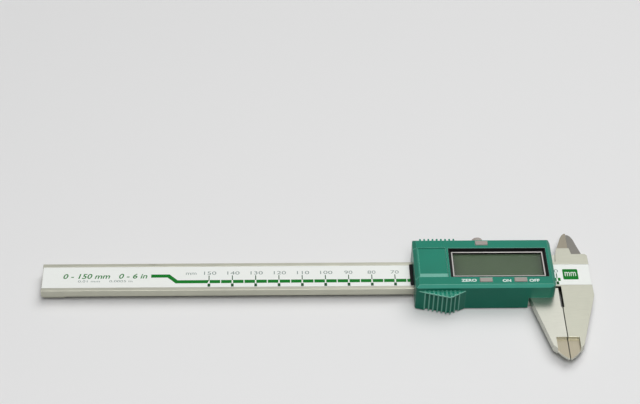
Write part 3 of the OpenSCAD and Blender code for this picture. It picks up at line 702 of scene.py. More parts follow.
class Piece:
    """A mesh being modelled, in millimetres, one operator after the other."""

    def __init__(self, obj: bpy.types.Object) -> None:
        """Keeps the mesh object."""
        self.obj = obj

    @staticmethod
    def clear() -> None:
        """Leaves edit mode and deselects everything."""
        if bpy.context.mode != "OBJECT":
            bpy.ops.object.mode_set(mode="OBJECT")
        bpy.ops.object.select_all(action="DESELECT")

    def only(self) -> Self:
        """Makes this piece the only selected one, and the active one.

        Returns:
            The piece.
        """
        Piece.clear()
        self.obj.select_set(True)
        bpy.context.view_layer.objects.active = self.obj
        return self

    def settle(self) -> Self:
        """Applies the object's place, turn and scale to its mesh.

        Returns:
            The piece.
        """
        self.only()
        bpy.ops.object.transform_apply(location=True, rotation=True, scale=True)
        return self

    @classmethod
    def block(cls, lo: Point, hi: Point) -> Self:
        """A block between two corners.

        Args:
            lo: Lowest corner.
            hi: Highest corner.

        Returns:
            The new piece.
        """
        cls.clear()
        centre = [(a + b) / 2 for a, b in zip(lo, hi)]
        bpy.ops.mesh.primitive_cube_add(size=1, location=centre)
        piece = cls(bpy.context.object)
        piece.obj.scale = [b - a for a, b in zip(lo, hi)]
        return piece.settle()

    @classmethod
    def inside(cls, lo: Point, hi: Point, inset: float, z0: float, z1: float) -> Self:
        """A block between two heights, inset all round from the outline of a box."""
        return cls.block((lo[0] + inset, lo[1] + inset, z0), (hi[0] - inset, hi[1] - inset, z1))

    @classmethod
    def rod(cls, centre: Point, radius: float, length: float, axis: str = "Z", sides: int = 48) -> Self:
        """A round rod.

        Args:
            centre: Its middle.
            radius: Its radius.
            length: Its length.
            axis: Z for an upright rod, Y for one across the beam.
            sides: Faces round it.

        Returns:
            The new piece.
        """
        cls.clear()
        turn = (math.radians(90), 0, 0) if axis == "Y" else (0, 0, 0)
        size = {"vertices": sides, "radius": radius, "depth": length}
        bpy.ops.mesh.primitive_cylinder_add(**size, location=centre, rotation=turn)
        return cls(bpy.context.object).settle()

    @classmethod
    def words(cls, text: str, lo: Point, hi: Point, slant: float = 0.0, weight: float = 0.0) -> Self:
        """Raised lettering that fills a block.

        Args:
            text: The letters.
            lo: Lowest corner.
            hi: Highest corner.
            slant: Lean of the letters.
            weight: How much each stroke gains on a side, as a share of the letter's size.

        Returns:
            The new piece.
        """
        cls.clear()
        bpy.ops.object.text_add()
        data = bpy.context.object.data
        data.body, data.shear, data.extrude, data.offset, data.resolution_u = text, slant, 0.5, weight, 4
        bpy.ops.object.convert(target="MESH")
        piece = cls(bpy.context.object).merge()
        first, last = ([pick(side) for side in zip(*piece.obj.bound_box)] for pick in (min, max))
        scale = [(hi[i] - lo[i]) / (last[i] - first[i]) for i in range(3)]
        piece.obj.scale = scale
        piece.obj.location = [lo[i] - first[i] * scale[i] for i in range(3)]
        return piece.settle()

    @classmethod
    def copy_of(cls, node: str) -> Self:
        """A CAD node's shape as a piece of its own, merged and with its flat faces whole.

        Args:
            node: Name of the node.

        Returns:
            The new piece.
        """
        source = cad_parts[node]
        obj = bpy.data.objects.new(node + "_copy", source.data.copy())
        bpy.context.scene.collection.objects.link(obj)
        obj.data.materials.clear()
        obj.scale = (1 / MM,) * 3
        piece = cls(obj).settle()
        piece.edit(Part.FACE, every, lambda: bpy.ops.mesh.remove_doubles(threshold=0.002))
        flat = math.radians(0.5)
        return piece.edit(Part.FACE, every, lambda: bpy.ops.mesh.dissolve_limited(angle_limit=flat))

    def edit(self, part: Part, test: Callable, *steps: Callable) -> Self:
        """Selects what a test names in edit mode, and runs operators on it.

        Args:
            part: What is selected.
            test: Says of each vertex, edge or face whether it is.
            steps: Operators to run, in order.

        Returns:
            The piece.
        """
        self.only()
        bpy.ops.object.mode_set(mode="EDIT")
        bpy.ops.mesh.select_mode(type=part.name)
        bpy.ops.mesh.select_all(action="DESELECT")
        mesh = bmesh.from_edit_mesh(self.obj.data)
        mesh.normal_update()
        for item in getattr(mesh, part.value):
            if test(item):
                item.select_set(True)
        bmesh.update_edit_mesh(self.obj.data)
        for step in steps:
            step()
        bpy.ops.object.mode_set(mode="OBJECT")
        return self

    def merge(self) -> Self:
        """Merges doubles and turns every face outwards.

        Returns:
            The piece.
        """
        return self.edit(
            Part.FACE,
            every,
            lambda: bpy.ops.mesh.remove_doubles(threshold=0.0005),
            lambda: bpy.ops.mesh.normals_make_consistent(inside=False),
        )

    def bevel(self, test: Callable, width: float, segments: int = 2, clamp: bool = True) -> Self:
        """Bevels the edges that a test names; with clamp, neighbouring bevels limit each other."""
        shape = {"offset": width, "segments": segments, "profile": 0.5, "clamp_overlap": clamp}
        return self.edit(Part.EDGE, test, partial(bpy.ops.mesh.bevel, **shape))

    def round_top(self, width: float, segments: int) -> Self:
        """Bevels the edges of the piece's top."""
        top = max(vert.co.z for vert in self.obj.data.vertices) - 0.01
        return self.bevel(lambda edge: middle(edge).z > top, width, segments)

    def inset(self, test: Callable, *rings: tuple[float, float], each: bool = False) -> Self:
        """Insets the faces that a test names, by a width and a depth for each ring.

        Args:
            test: Says of each face whether it is inset.
            rings: Width and depth of each ring, from the outside in.
            each: Whether every face gets rings of its own.

        Returns:
            The piece.
        """
        step = partial(bpy.ops.mesh.inset, use_individual=each)
        steps = [partial(step, thickness=width, depth=depth) for width, depth in rings]
        return self.edit(Part.FACE, test, *steps)

    def shift(self, part: Part, test: Callable, way: Point) -> Self:
        """Moves the vertices, edges or faces that a test names."""
        return self.edit(part, test, lambda: bpy.ops.transform.translate(value=way))

    def apply(self, kind: str, **settings: object) -> Self:
        """Changes the mesh by a modifier.

        Args:
            kind: The modifier's type.
            settings: Its settings.

        Returns:
            The piece.
        """
        modifier = self.obj.modifiers.new(kind, kind)
        for name, value in settings.items():
            setattr(modifier, name, value)
        self.only()
        bpy.ops.object.modifier_apply(modifier=kind)
        return self

    def soften(self, width: float) -> Self:
        """Rounds every sharp edge a little."""
        sharp = {"limit_method": "ANGLE", "angle_limit": math.radians(30)}
        return self.apply("BEVEL", width=width, segments=2, use_clamp_overlap=False, **sharp)

    def repeat(self, count: int, step: Point) -> Self:
        """Copies the piece along a line, until there are so many."""
        shift = {"use_relative_offset": False, "use_constant_offset": True}
        return self.apply("ARRAY", count=count, constant_offset_displace=step, **shift)

    def combine(self, operation: str, *others: "Piece") -> Self:
        """Cuts, joins or intersects with other pieces, which are used up.

        Args:
            operation: DIFFERENCE, UNION or INTERSECT.
            others: The other pieces.

        Returns:
            The piece.
        """
        for other in others:
            self.apply("BOOLEAN", operation=operation, solver="EXACT", object=other.obj)
            bpy.data.objects.remove(other.obj)
        return self

    def cut(self, *others: "Piece") -> Self:
        """Takes other pieces' room out of this one."""
        return self.combine("DIFFERENCE", *others)

    def weld(self, *others: "Piece") -> Self:
        """Makes other pieces part of this solid."""
        return self.combine("UNION", *others)

    def gather(self, *others: "Piece") -> Self:
        """Takes other pieces into this object, as shells of their own.

        Args:
            others: The other pieces.

        Returns:
            The piece.
        """
        self.only()
        for other in others:
            other.obj.select_set(True)
        bpy.ops.object.join()
        return self

    def slice(self, point: Point, normal: Point, clear: bool = True) -> Self:
        """Cuts the piece through a plane.

        Args:
            point: A point of the plane.
            normal: The plane's direction, towards its far side.
            clear: Whether the far side goes; False leaves both halves, joined.

        Returns:
            The piece.
        """
        plane = {"plane_co": point, "plane_no": Vector(normal).normalized()}
        return self.edit(
            Part.FACE,
            every,
            lambda: bpy.ops.mesh.bisect(use_fill=clear, clear_outer=clear, clear_inner=False, **plane),
        )

    def paint(self, finish: Finish, test: Callable) -> Self:
        """Gives some faces a finish of their own.

        Args:
            finish: The finish.
            test: Says of each polygon whether it gets it.

        Returns:
            The piece.
        """
        if not self.obj.data.materials:
            self.obj.data.materials.append(None)
        self.obj.data.materials.append(finish.material())
        for polygon in self.obj.data.polygons:
            if test(polygon):
                polygon.material_index = len(self.obj.data.materials) - 1
        return self

    def finish(self, name: str, body: Body, finish: Finish, slot: str, *nodes: str) -> None:
        """Brings the piece to metres and gives it its name, finish, body and nodes.

        Args:
            name: The piece's name.
            body: The body that it rides on.
            finish: Its finish.
            slot: The record's material slot; not used.
            nodes: CAD nodes that it stands for.
        """
        self.obj.scale = (MM,) * 3
        self.settle()
        bpy.ops.object.shade_smooth_by_angle(angle=math.radians(32))
        self.apply("WEIGHTED_NORMAL", keep_sharp=True)
        if self.obj.data.materials:
            self.obj.data.materials[0] = finish.material()
        else:
            self.obj.data.materials.append(finish.material())
        self.obj.name = name
        self.obj.data.name = name
        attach(self.obj, body.value)
        if nodes:
            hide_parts(*nodes)
        LOG.info("%s: %d faces on %s", name, len(self.obj.data.polygons), body.value)


def dress(node: str, finish: Finish) -> None:
    """Gives a CAD node that stays in view its finish.

    Args:
        node: The node's name.
        finish: Its finish.
    """
    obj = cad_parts[node]
    for slot in obj.material_slots:
        slot.link = "OBJECT"
        slot.material = finish.material()
    LOG.info("%s: dressed in %s", node, finish.name)


# ---------------------------------------------------------------------------------------------
# The caliper, with all sizes in millimetres
# ---------------------------------------------------------------------------------------------


RELIEF_X = (-2.5, 0.7)
RELIEF_Y = (-20.3, -6.8)


def relieved(face: bpy.types.MeshPolygon) -> bool:
    """Whether a face is a side of the relief slot at the outside jaws' root, which is painted dark as
    shade.
    """
    within = RELIEF_X[0] < face.center.x < RELIEF_X[1] and RELIEF_Y[0] < face.center.y < RELIEF_Y[1]
    return within and abs(face.normal.z) < 0.3


def facing(face: bpy.types.MeshPolygon) -> bool:
    """Whether a face looks to the front."""
    return face.normal.z > 0.9


@dataclass
class Beam:
    """The beam with its fixed jaws, its stop plate and the scale board.

    Attributes:
        rounding: Width of the rounding on ground edges.
        plate_rounding: Width of it on the stop plate.
        thin_depth: Depth below the beam's front at which a front face counts as a ground tip.
        tip_reach: Reach of the outside jaw's ground tip.
        inside_y: Where the inside jaws begin.
        notch_x: Sides of the notch over the relief slot.
        notch_y: Its lower and upper end.
    """

    rounding: float = 0.12
    plate_rounding: float = 0.15
    thin_depth: float = 0.6
    tip_reach: float = 12.0
    inside_y: float = 9.0
    notch_x: Point = (-2.3, 0.2)
    notch_y: Point = (-9.0, -6.93)

    def build(self) -> None:
        """Softens the steel, paints the ground faces darker as reflection and shade, and dresses what is
        fixed to the beam.
        """
        lo, hi = corners("beam")
        top, foot = hi.z - self.thin_depth, lo.y + self.tip_reach
        (x0, x1), (y0, y1) = self.notch_x, self.notch_y
        steel = Piece.copy_of("beam")
        steel.cut(Piece.block((x0, y0, lo.z - 1), (x1, y1, hi.z + 1))).soften(self.rounding)
        # painted reflection on the outside jaw's ground tip
        steel.paint(TIP_REFLECTION_STEEL, lambda f: facing(f) and f.center.z < top and f.center.y < foot)
        # painted shade on the fixed inside jaw's facet
        steel.paint(INSIDE_SHADE_STEEL, lambda f: facing(f) and f.center.z < top and f.center.y > self.inside_y)
        # painted shade on the sides of the relief slot
        steel.paint(RELIEF_SHADE_STEEL, relieved)
        steel.finish("beam_steel", Body.BEAM, BODY_STEEL, "beam_steel", "beam")
        plate = Piece.copy_of("stop_plate").soften(self.plate_rounding)
        plate.finish("stop_plate_steel", Body.BEAM, BODY_STEEL, "beam_steel", "stop_plate")
        dress("stop_plate_screws", SCREW_STEEL)
        dress("scale_board", LACQUER)


@dataclass
class Scale:
    """The printed label: numbers, ticks and the broken green band.

    Attributes:
        last: The highest number, in millimetres.
        step: Distance between numbers.
        tick_shift: Place of a number's tick beyond its reading.
        band_y: Centre of the band.
        band_half: Half its width.
        gap: Gap in the band at a number.
        small_gap: Gap between two numbers.
        lead_rise: How far the band's lead-in starts above the band.
        lead_x: Start, upper bend and lower bend of the lead-in.
        digit_w: Width of a digit with its space.
        digit_y: Foot and head of the numbers.
        long_shift: How far a number of three digits stands towards zero.
        unit_x: Left and right end of the unit.
        range_x: Left and right end of the measuring range.
        range_y: Its foot and head.
        reading_x: Left and right end of the reading step.
        reading_y: Its foot and head.
        head_x: Sides of the square on the head.
        head_y: Its lower and upper side.
        ink: Thickness of the ink.
    """

    last: int = 150
    step: int = 10
    tick_shift: float = 0.55
    band_y: float = -2.9
    band_half: float = 0.93
    gap: float = 0.6
    small_gap: float = 0.4
    lead_rise: float = 3.5
    lead_x: Point = (-175.4, -167.9, -164.4)
    digit_w: float = 1.75
    digit_y: Point = (1.2, 3.1)
    long_shift: float = 0.45
    unit_x: Point = (-160.5, -156.0)
    range_x: Point = (-212.9, -177.0)
    range_y: Point = (-0.8, 2.1)
    reading_x: Point = (-206.5, -183.3)
    reading_y: Point = (-2.9, -1.7)
    head_x: Point = (2.2, 8.8)
    head_y: Point = (-3.0, 3.2)
    ink: float = 0.02

    def build(self) -> None:
        """Dresses the film and prints on it."""
        top = high("scale_label").z
        self.z0, self.z1 = top - 0.01, top + self.ink
        self.count = self.last // self.step + 1
        self.far = -self.last - self.tick_shift
        dress("scale_label", LABEL_FILM)
        self.band()
        self.ticks()
        self.numbers()
        self.range_words()
        self.head_mark()

    def mark(self, x0: float, x1: float, y0: float, y1: float) -> Piece:
        """A rectangle of ink with slightly rounded corners."""
        return Piece.block((x0, y0, self.z0), (x1, y1, self.z1)).bevel(upright, min(0.08, (x1 - x0) / 4))

    def letters(self, text: str, x: Point, y: Point, **looks: float) -> Piece:
        """Lettering on the film between two places along the beam and two across it."""
        return Piece.words(text, (x[0], y[0], self.z0), (x[1], y[1], self.z1), **looks)

    def band(self) -> None:
        """The green band: its bent lead-in, then a broken line to zero."""
        y0, y1 = self.band_y - self.band_half, self.band_y + self.band_half
        half, small, pitch = self.gap / 2, self.small_gap / 2, self.step / 2
        pair = self.mark(self.far + half, self.far + pitch - small, y0, y1)
        pair.gather(self.mark(self.far + pitch + small, self.far + self.step - half, y0, y1))
        pair.repeat(self.count - 1, (self.step, 0, 0))
        end = self.mark(-self.tick_shift + half, 0.9, y0, y1)
        pair.gather(end, self.lead(self.far - half))
        pair.finish("scale_band", Body.BEAM, GREEN_INK, "label")

    def lead(self, last_x: float) -> Piece:
        """The lead-in: level, slanting down, level, with mitred bends.

        Args:
            last_x: Where it ends.

        Returns:
            The new piece.
        """
        start, bend, foot = self.lead_x
        y = self.band_y + self.lead_rise
        mitre = self.band_half * math.tan(math.atan2(self.lead_rise, foot - bend) / 2)
        strip = Piece.block((start, y - self.band_half, self.z0), (bend, y + self.band_half, self.z1))
        for sign, reach in ((1, 0.01), (-1, mitre / 2 + 0.01)):
            strip.shift(
                Part.VERT,
                lambda v: v.co.x > bend - reach and sign * (v.co.y - y) > 0,
                (sign * mitre, 0, 0),
            )
        for x, next_y in ((foot, self.band_y), (last_x, self.band_y)):
            end = max(vert.co.x for vert in strip.obj.data.vertices) - 1.5
            move = {"value": (x - bend, next_y - y, 0)}
            strip.edit(
                Part.FACE,
                lambda f: f.normal.x > 0.5 and f.calc_center_median().x > end,
                lambda: bpy.ops.mesh.extrude_region_move(TRANSFORM_OT_translate=move),
            )
            bend, y = x, next_y
        return strip

    def ticks(self) -> None:
        """A thin line above the band and a square below it at each number."""
        line = self.mark(self.far - 0.2, self.far + 0.2, self.band_y + 0.9, self.band_y + 3.6)
        line.gather(self.mark(self.far - 0.58, self.far + 0.58, self.band_y - 3.0, self.band_y - 1.2))
        line.repeat(self.count, (self.step, 0, 0))
        line.finish("scale_ticks", Body.BEAM, DARK_INK, "label")

    def numbers(self) -> None:
        """The numbers and the unit, in thin grey letters."""
        words = []
        for number in range(0, self.last + 1, self.step):
            text = str(number)
            half = self.digit_w * len(text) / 2
            x = -number - self.tick_shift + (self.long_shift if len(text) > 2 else 0.0)
            words.append(self.letters(text, (x - half, x + half), self.digit_y))
        foot = self.digit_y[0]
        words.append(self.letters("mm", self.unit_x, (foot, foot + 1.3)))
        words[0].gather(*words[1:]).finish("scale_numbers", Body.BEAM, GREY_INK, "label")

    def range_words(self) -> None:
        """The measuring range in slanted green letters, and the reading step below it."""
        span = "0 - 150 mm   0 - 6 in"
        text = self.letters(span, self.range_x, self.range_y, slant=0.22, weight=0.012)
        text.finish("range_words", Body.BEAM, GREEN_INK, "label")
        small = self.letters("0.01 mm     0.0005 in", self.reading_x, self.reading_y)
        small.finish("step_words", Body.BEAM, GREY_INK, "label")

    def head_mark(self) -> None:
        """A plain green square on the head with the unit in white."""
        (x0, x1), (y0, y1) = self.head_x, self.head_y
        square = Piece.block((x0, y0, self.z0), (x1, y1, self.z1)).bevel(upright, 0.5, 4)
        square.finish("head_square", Body.BEAM, GREEN_INK, "label")
        lo, hi = (x0 + 0.9, y0 + 2.0, self.z1 - 0.01), (x1 - 0.9, y1 - 1.7, self.z1 + self.ink)
        unit = Piece.words("mm", lo, hi)
        unit.finish("head_unit", Body.BEAM, LABEL_FILM, "label")


@dataclass
class SliderSteel:
    """The steel slider with its moving jaws, and what runs and holds under it.

    Attributes:
        rounding: Width of the rounding on ground edges.
        rod_rounding: Width of it on the depth rod.
        thin_depth: Depth below the beam's front at which a front face counts as a ground tip.
        tip_reach: Reach of the outside jaw's ground tip.
        hollow: Place from which the moving inside jaw's front is painted in shade, along and across the
            beam.
    """

    rounding: float = 0.12
    rod_rounding: float = 0.08
    thin_depth: float = 0.6
    tip_reach: float = 10.7
    hollow: Point = (6.0, 9.0)

    def build(self) -> None:
        """Softens the slider's edges, paints the ground tip, inside jaw and relief slot darker as
        reflection and shade, and dresses the small steel parts.
        """
        node = "slider_frame"
        top, foot = high("beam").z - self.thin_depth, low(node).y + self.tip_reach
        x, y = self.hollow
        steel = Piece.copy_of(node).soften(self.rounding)
        # painted reflection on the moving outside jaw's ground tip
        steel.paint(TIP_REFLECTION_STEEL, lambda f: facing(f) and f.center.z < top and f.center.y < foot)
        # the moving inside jaw's front is painted darker: painted shade
        steel.slice((x, 0, 0), (1, 0, 0), clear=False)
        steel.paint(SHADED_STEEL, lambda f: facing(f) and f.center.y > y and f.center.x > x)
        # painted shade on the sides of the relief slot
        steel.paint(RELIEF_SHADE_STEEL, relieved)
        steel.finish("slider_steel", Body.SLIDER, SLIDER_STEEL, "slider_steel", node)
        dress("gib_strip", BRASS)
        for name in ("gib_screws", "depth_rod_screw", "housing_screws"):
            dress(name, SCREW_STEEL)
        rod = Piece.copy_of("depth_rod").soften(self.rod_rounding)
        rod.finish("depth_rod_steel", Body.SLIDER, SLIDER_STEEL, "slider_steel", "depth_rod")


@dataclass
class Housing:
    """The green housing with its thumb grips and printed key names.

    Attributes:
        wall: Thickness of the sides.
        front: Thickness of the front.
        bevel: Width of the bevel round the front.
        hood: How far beyond the lower side the bevel's solid reaches.
        soft: Width of the rounding at the bevel's edges.
        radius_jaw: Radius of the corners by the jaws.
        radius_far: Radius of the far corners.
        ribs: How many ribs a grip has.
        pitch: Distance between ribs.
        first_rib: Middle of the first one, from the housing's far end.
        fin: Width of a rib of the lower grip.
        grip: Start, peak and end of the lower grip, from the housing's far end.
        bulge: How far the lower grip bulges.
        grip_drop: Depth of its upper side below the front.
        upper_proud: How far the upper ribs stand out.
        upper_half: Half the width of an upper rib.
        gap: Clearance round the board and the display's and the keys' flanges.
        over_bezel: How far the front covers the bezel's flange.
        over_key: How far it covers a key's flange.
        seat: Clearance round the lid, and over the beam's steel.
        lid_drop: Depth of the lid's face below the front.
        lid_t: Thickness of the lid.
        tongue: How far the lid's tongues reach into the housing.
        tongue_t: Thickness of the tongues.
        way: Length of the way out for the moving outside jaw.
        pass_half: Half the width of the ends' openings over the beam.
        pass_rise: Height of those openings over the beam.
        slot_half: Half the width of the contacts' slots.
        well_gap: Clearance round the coin cell.
        well_z: Height of the middle of its well.
        box_y: Lower and upper side of the battery compartment.
        box_z: Height of its underside.
        pad: Half the width, the underside and the upper side of the pad under it.
        word_y: Foot and head of a key's name, from the middle of ZERO.
    """

    wall: float = 1.5
    front: float = 1.6
    bevel: float = 1.5
    hood: float = 1.3
    soft: float = 0.28
    radius_jaw: float = 2.8
    radius_far: float = 1.0
    ribs: int = 9
    pitch: float = 1.82
    first_rib: float = 3.94
    fin: float = 0.5
    grip: Point = (1.04, 14.6, 21.4)
    bulge: float = 3.8
    grip_drop: float = 2.5
    upper_proud: float = 1.3
    upper_half: float = 0.4
    gap: float = 0.1
    over_bezel: float = 0.3
    over_key: float = 0.4
    seat: float = 0.05
    lid_drop: float = 0.4
    lid_t: float = 0.85
    tongue: float = 0.5
    tongue_t: float = 0.4
    way: float = 11.4
    pass_half: float = 8.3
    pass_rise: float = 0.7
    slot_half: float = 2.1
    well_gap: float = 0.15
    well_z: float = 11.0
    box_y: Point = (-7.95, 8.95)
    box_z: float = 7.5
    pad: Point = (6.5, 6.7, 7.6)
    word_y: Point = (-0.85, 0.75)

    def __post_init__(self) -> None:
        """Takes the housing's place from the frame."""
        lo, hi = corners("housing")
        self.x0, self.x1, self.z0, self.z1 = lo.x, hi.x, lo.z, hi.z
        self.y1 = hi.y - self.upper_proud
        self.y0 = low("main_board").y - self.gap - self.wall
        self.rib_x = self.x0 + self.first_rib
        self.last_rib_x = self.rib_x + (self.ribs - 1) * self.pitch
        self.grip_x = [self.x0 + x for x in self.grip]
        self.lid_z = self.z1 - self.lid_drop - self.lid_t

    def outer(self) -> Piece:
        """The outside: rounded corners under a bevelled hood, whose edges are softened.

        Returns:
            The new piece.
        """
        body = Piece.block((self.x0, self.y0, self.z0), (self.x1, self.y1, self.z1 + 1))
        centre = (self.x0 + self.x1) / 2
        body.bevel(lambda e: upright(e) and middle(e).x > centre, self.radius_jaw, 10)
        body.bevel(lambda e: upright(e) and middle(e).x < self.x0 + 0.1, self.radius_far, 6)
        lo = (self.x0 - 1, self.y0 - self.hood, self.z0 - 1)
        hood = Piece.block(lo, (self.x1 + 1, self.y1 + 1, self.z1)).round_top(self.bevel + 1, 1)
        body.combine("INTERSECT", hood).merge()
        foot = self.z1 - self.bevel - 0.02

        def ridge(edge: bmesh.types.BMEdge) -> bool:
            """Whether an edge bounds the bevel and is sharp enough to be softened."""
            high_up = min(vert.co.z for vert in edge.verts) > foot
            return high_up and not upright(edge) and edge.calc_face_angle(0) > 0.45

        return body.bevel(ridge, self.soft, 3)

    def room(self) -> Piece:
        """The empty room inside.

        Returns:
            The new piece.
        """
        lo, hi = (self.x0, self.y0), (self.x1, self.y1)
        room = Piece.inside(lo, hi, self.wall, self.z0 - 1, self.z1 - self.front)
        radius = self.radius_jaw - self.wall
        return room.bevel(lambda e: upright(e) and middle(e).x > self.x1 - 3, radius, 6)

    def bulged(self, x: float) -> float:
        """How far the lower grip's outline stands out at a place along the beam."""
        x0, peak, x1 = self.grip_x
        return self.bulge * ((x - x0) / (peak - x0) if x < peak else (x1 - x) / (x1 - peak))

    def crescent(self, top: float) -> Piece:
        """The lower grip's bulged outline as a solid.

        Args:
            top: Height of its upper side.

        Returns:
            The new piece.
        """
        x0, peak, x1 = self.grip_x
        y_peak = self.y0 - self.bulge
        grip = Piece.block((x0, y_peak, self.z0 + 0.03), (x1, self.y0 + 0.8, top))
        grip.slice((x0, self.y0, 0), (-self.bulge, x0 - peak, 0))
        grip.slice((x1, self.y0, 0), (self.bulge, peak - x1, 0))
        grip.bevel(lambda e: upright(e) and middle(e).y < y_peak + 0.1, 0.7, 6)
        return grip.bevel(lambda e: middle(e).z > top - 0.01 and middle(e).y < self.y0 - 0.05, 0.22, 2)

    def rubbed(self, face: bpy.types.MeshPolygon) -> bool:
        """Whether a face lies on the thumb grip's outline, where a highlight is painted.

        Args:
            face: The face.

        Returns:
            True for the front of a rib and for the plate's rim.
        """
        x, y, z = face.center
        on_ribs = self.rib_x - self.fin < x < self.last_rib_x + self.fin
        if face.normal.y > -0.3 or z > self.z1 - 2 or not (on_ribs or face.normal.z > 0.2):
            return False
        return y < self.y0 - self.bulged(x) + 0.35

    def lower_grip(self) -> Piece:
        """The bulged thumb grip: thin ribs under and over a plate, deep grooves between them.

        Returns:
            The new piece.
        """
        top = self.z1 - self.grip_drop
        grip = self.crescent(top - 0.4)
        half = (self.pitch - self.fin) / 2
        grooves = []
        for index in range(self.ribs - 1):
            x = self.rib_x + (index + 0.5) * self.pitch
            y = self.y0 - max(self.bulged(x) - 1.0, 0.1)
            groove = Piece.block((x - half, y - 5, self.z0 - 1), (x + half, y, top - 0.9))
            grooves.append(groove.bevel(lambda e: upright(e) and middle(e).y > y - 0.1, 0.25, 3))
        grip.cut(grooves[0].gather(*grooves[1:]))
        x, y = self.rib_x - self.fin / 2, self.y0 - self.bulge - 1
        fins = Piece.block((x, y, top - 0.7), (x + self.fin, self.y0 + 0.5, top + 0.1))
        fins.repeat(self.ribs, (self.pitch, 0, 0)).combine("INTERSECT", self.crescent(top))
        fins.shift(Part.FACE, every, (0, -0.03, 0))
        grip.weld(fins)
        for x in (self.rib_x - self.fin / 2, self.last_rib_x + self.fin / 2):
            grip.slice((x, 0, 0), (1, 0, 0), clear=False)
        return grip

    def upper_ribs(self) -> Piece:
        """Upright rounded bars on the upper side.

        Returns:
            The new piece.
        """
        x, half = self.rib_x - 0.3, self.upper_half
        top = self.z1 - self.bevel - 0.1
        rib = Piece.block((x - half, self.y1 - 0.5, 2), (x + half, self.y1 + self.upper_proud, top))
        rib.bevel(lambda e: upright(e) and middle(e).y > self.y1 + 0.5, 0.28, 3)
        rib.bevel(lambda e: middle(e).z > top - 0.01 and middle(e).y > self.y1 + 0.3, 0.2, 2)
        return rib.repeat(self.ribs, (self.pitch, 0, 0))

    def display_room(self) -> list[Piece]:
        """Room for the display's bezel with its flange, and for the keys.

        Returns:
            The pieces to cut out.
        """
        lo, hi = corners("display_bezel")
        below, above, gap, over = self.z1 - 4, self.z1 + 1, self.gap, self.over_key
        cuts = [
            Piece.inside(lo, hi, self.over_bezel, below, above),
            Piece.inside(lo, hi, -gap, high("main_board").z, self.z1 - self.front),
        ]
        for key in ("key_zero", "key_on_off", "key_mode"):
            lo, hi = corners(key)
            cuts.append(Piece.block((lo.x + over, lo.y - gap, below), (hi.x - over, hi.y + gap, above)))
        return cuts

    def lid_room(self) -> list[Piece]:
        """Room for the battery lid with its tongues and its end wall, and the coin cell's well.

        Returns:
            The pieces to cut out.
        """
        lo, hi = corners("battery_lid")
        x0, x1, floor = lo.x - 1, hi.x + self.seat, self.lid_z - self.seat
        y0, y1 = lo.y + self.tongue - self.seat, hi.y - self.tongue + self.seat
        over = self.lid_z + self.tongue_t + self.seat
        cell_lo, cell_hi = corners("battery_cell")
        middle_x, middle_y = (cell_lo.x + cell_hi.x) / 2, (cell_lo.y + cell_hi.y) / 2
        radius = (cell_hi.x - cell_lo.x) / 2 + self.well_gap
        return [
            Piece.block((x0, y0, floor), (x1, y1, self.z1 + 1)),
            Piece.block((x0, lo.y - self.seat, floor), (x1, hi.y + self.seat, over)),
            Piece.block((x0, y0, lo.z - self.seat), (self.x0 + self.wall + 0.01, y1, self.z1)),
            Piece.rod((middle_x, middle_y, self.well_z), radius, 8, sides=64),
        ]

    def ways_out(self) -> list[Piece]:
        """Room for the moving outside jaw, the slider's corner and the beam.

        Returns:
            The pieces to cut out.
        """
        beam, end, edge = high("beam").z, self.x1 + 1, self.y0 + self.wall + 0.1
        corner = self.x1 - self.wall - self.radius_jaw
        half, over = self.pass_half, beam + self.pass_rise
        return [
            Piece.block((self.x1 - self.way, self.y0 - 1, -1), (end, edge, beam + self.seat)),
            Piece.block((corner, edge - 0.01, -1), (end, self.y1 - self.wall, beam + self.seat)),
            Piece.block((self.x1 - self.wall - 0.01, -half, -1), (end, half, over)),
            Piece.block((self.x0 - 1, -half, -1), (self.x0 + self.wall + 0.01, half, over)),
        ]

    def battery_box(self) -> Piece:
        """The compartment's floor and sides, still without the coin cell's well.

        Returns:
            The new piece.
        """
        cell_lo, cell_hi = corners("battery_cell")
        centre, edge, half = (cell_lo.x + cell_hi.x) / 2, cell_hi.x, self.slot_half
        x0, x1 = self.x0 + self.wall, low("main_board").x - self.gap
        y0, y1 = self.box_y
        pad_half, pad_z0, pad_z1 = self.pad
        box = Piece.block((x0 - 0.01, y0, self.box_z), (x1, y1, self.lid_z - 2 * self.seat))
        box.weld(Piece.block((x0 + 0.3, -pad_half, pad_z0), (x1, pad_half, pad_z1)))
        under, beside = (centre, x1 + 1, 7.0, 7.5), (edge - 0.1, edge + 0.3, 7.9, 14)
        slots = (under, beside, (edge, x1 + 1, 8.3, 8.8))
        return box.cut(*(Piece.block((a, -half, z0), (b, half, z1)) for a, b, z0, z1 in slots))

    def words(self) -> None:
        """ZERO, ON and OFF in white by their keys."""
        zero, switch = (centre_of(key) for key in ("key_zero", "key_on_off"))
        y0, y1 = (zero.y + y for y in self.word_y)
        z0, z1 = self.z1 - 0.01, self.z1 + 0.02
        places = (
            ("ZERO", zero.x - 10.6, zero.x - 4.1, 0.15),
            ("ON", switch.x - 7.8, switch.x - 4.2, 0.4),
            ("OFF", switch.x + 3.6, switch.x + 7.95, 0.4),
        )
        pieces = [
            Piece.words(text, (x0, y0 - drop, z0), (x1, y1 - drop, z1), weight=0.03)
            for text, x0, x1, drop in places
        ]
        pieces[0].gather(*pieces[1:]).finish("key_words", Body.SLIDER, WHITE_INK, "housing_plastic")

    def build(self) -> None:
        """Builds the shell and prints on it."""
        shell = self.outer()
        for node in ("display_bezel", "key_zero", "key_mode"):
            shell.slice(centre_of(node), (0, 1, 0), clear=False)
        shell.cut(self.room())
        shell.weld(self.lower_grip(), self.upper_ribs(), self.battery_box())
        shell.cut(*self.display_room(), *self.lid_room(), *self.ways_out())
        shell.bevel(self.rim, 0.08, 2, clamp=False)
        # painted highlight on the fronts of the grip's ribs and on its rim
        shell.paint(EDGE_HIGHLIGHT_PLASTIC, self.rubbed)
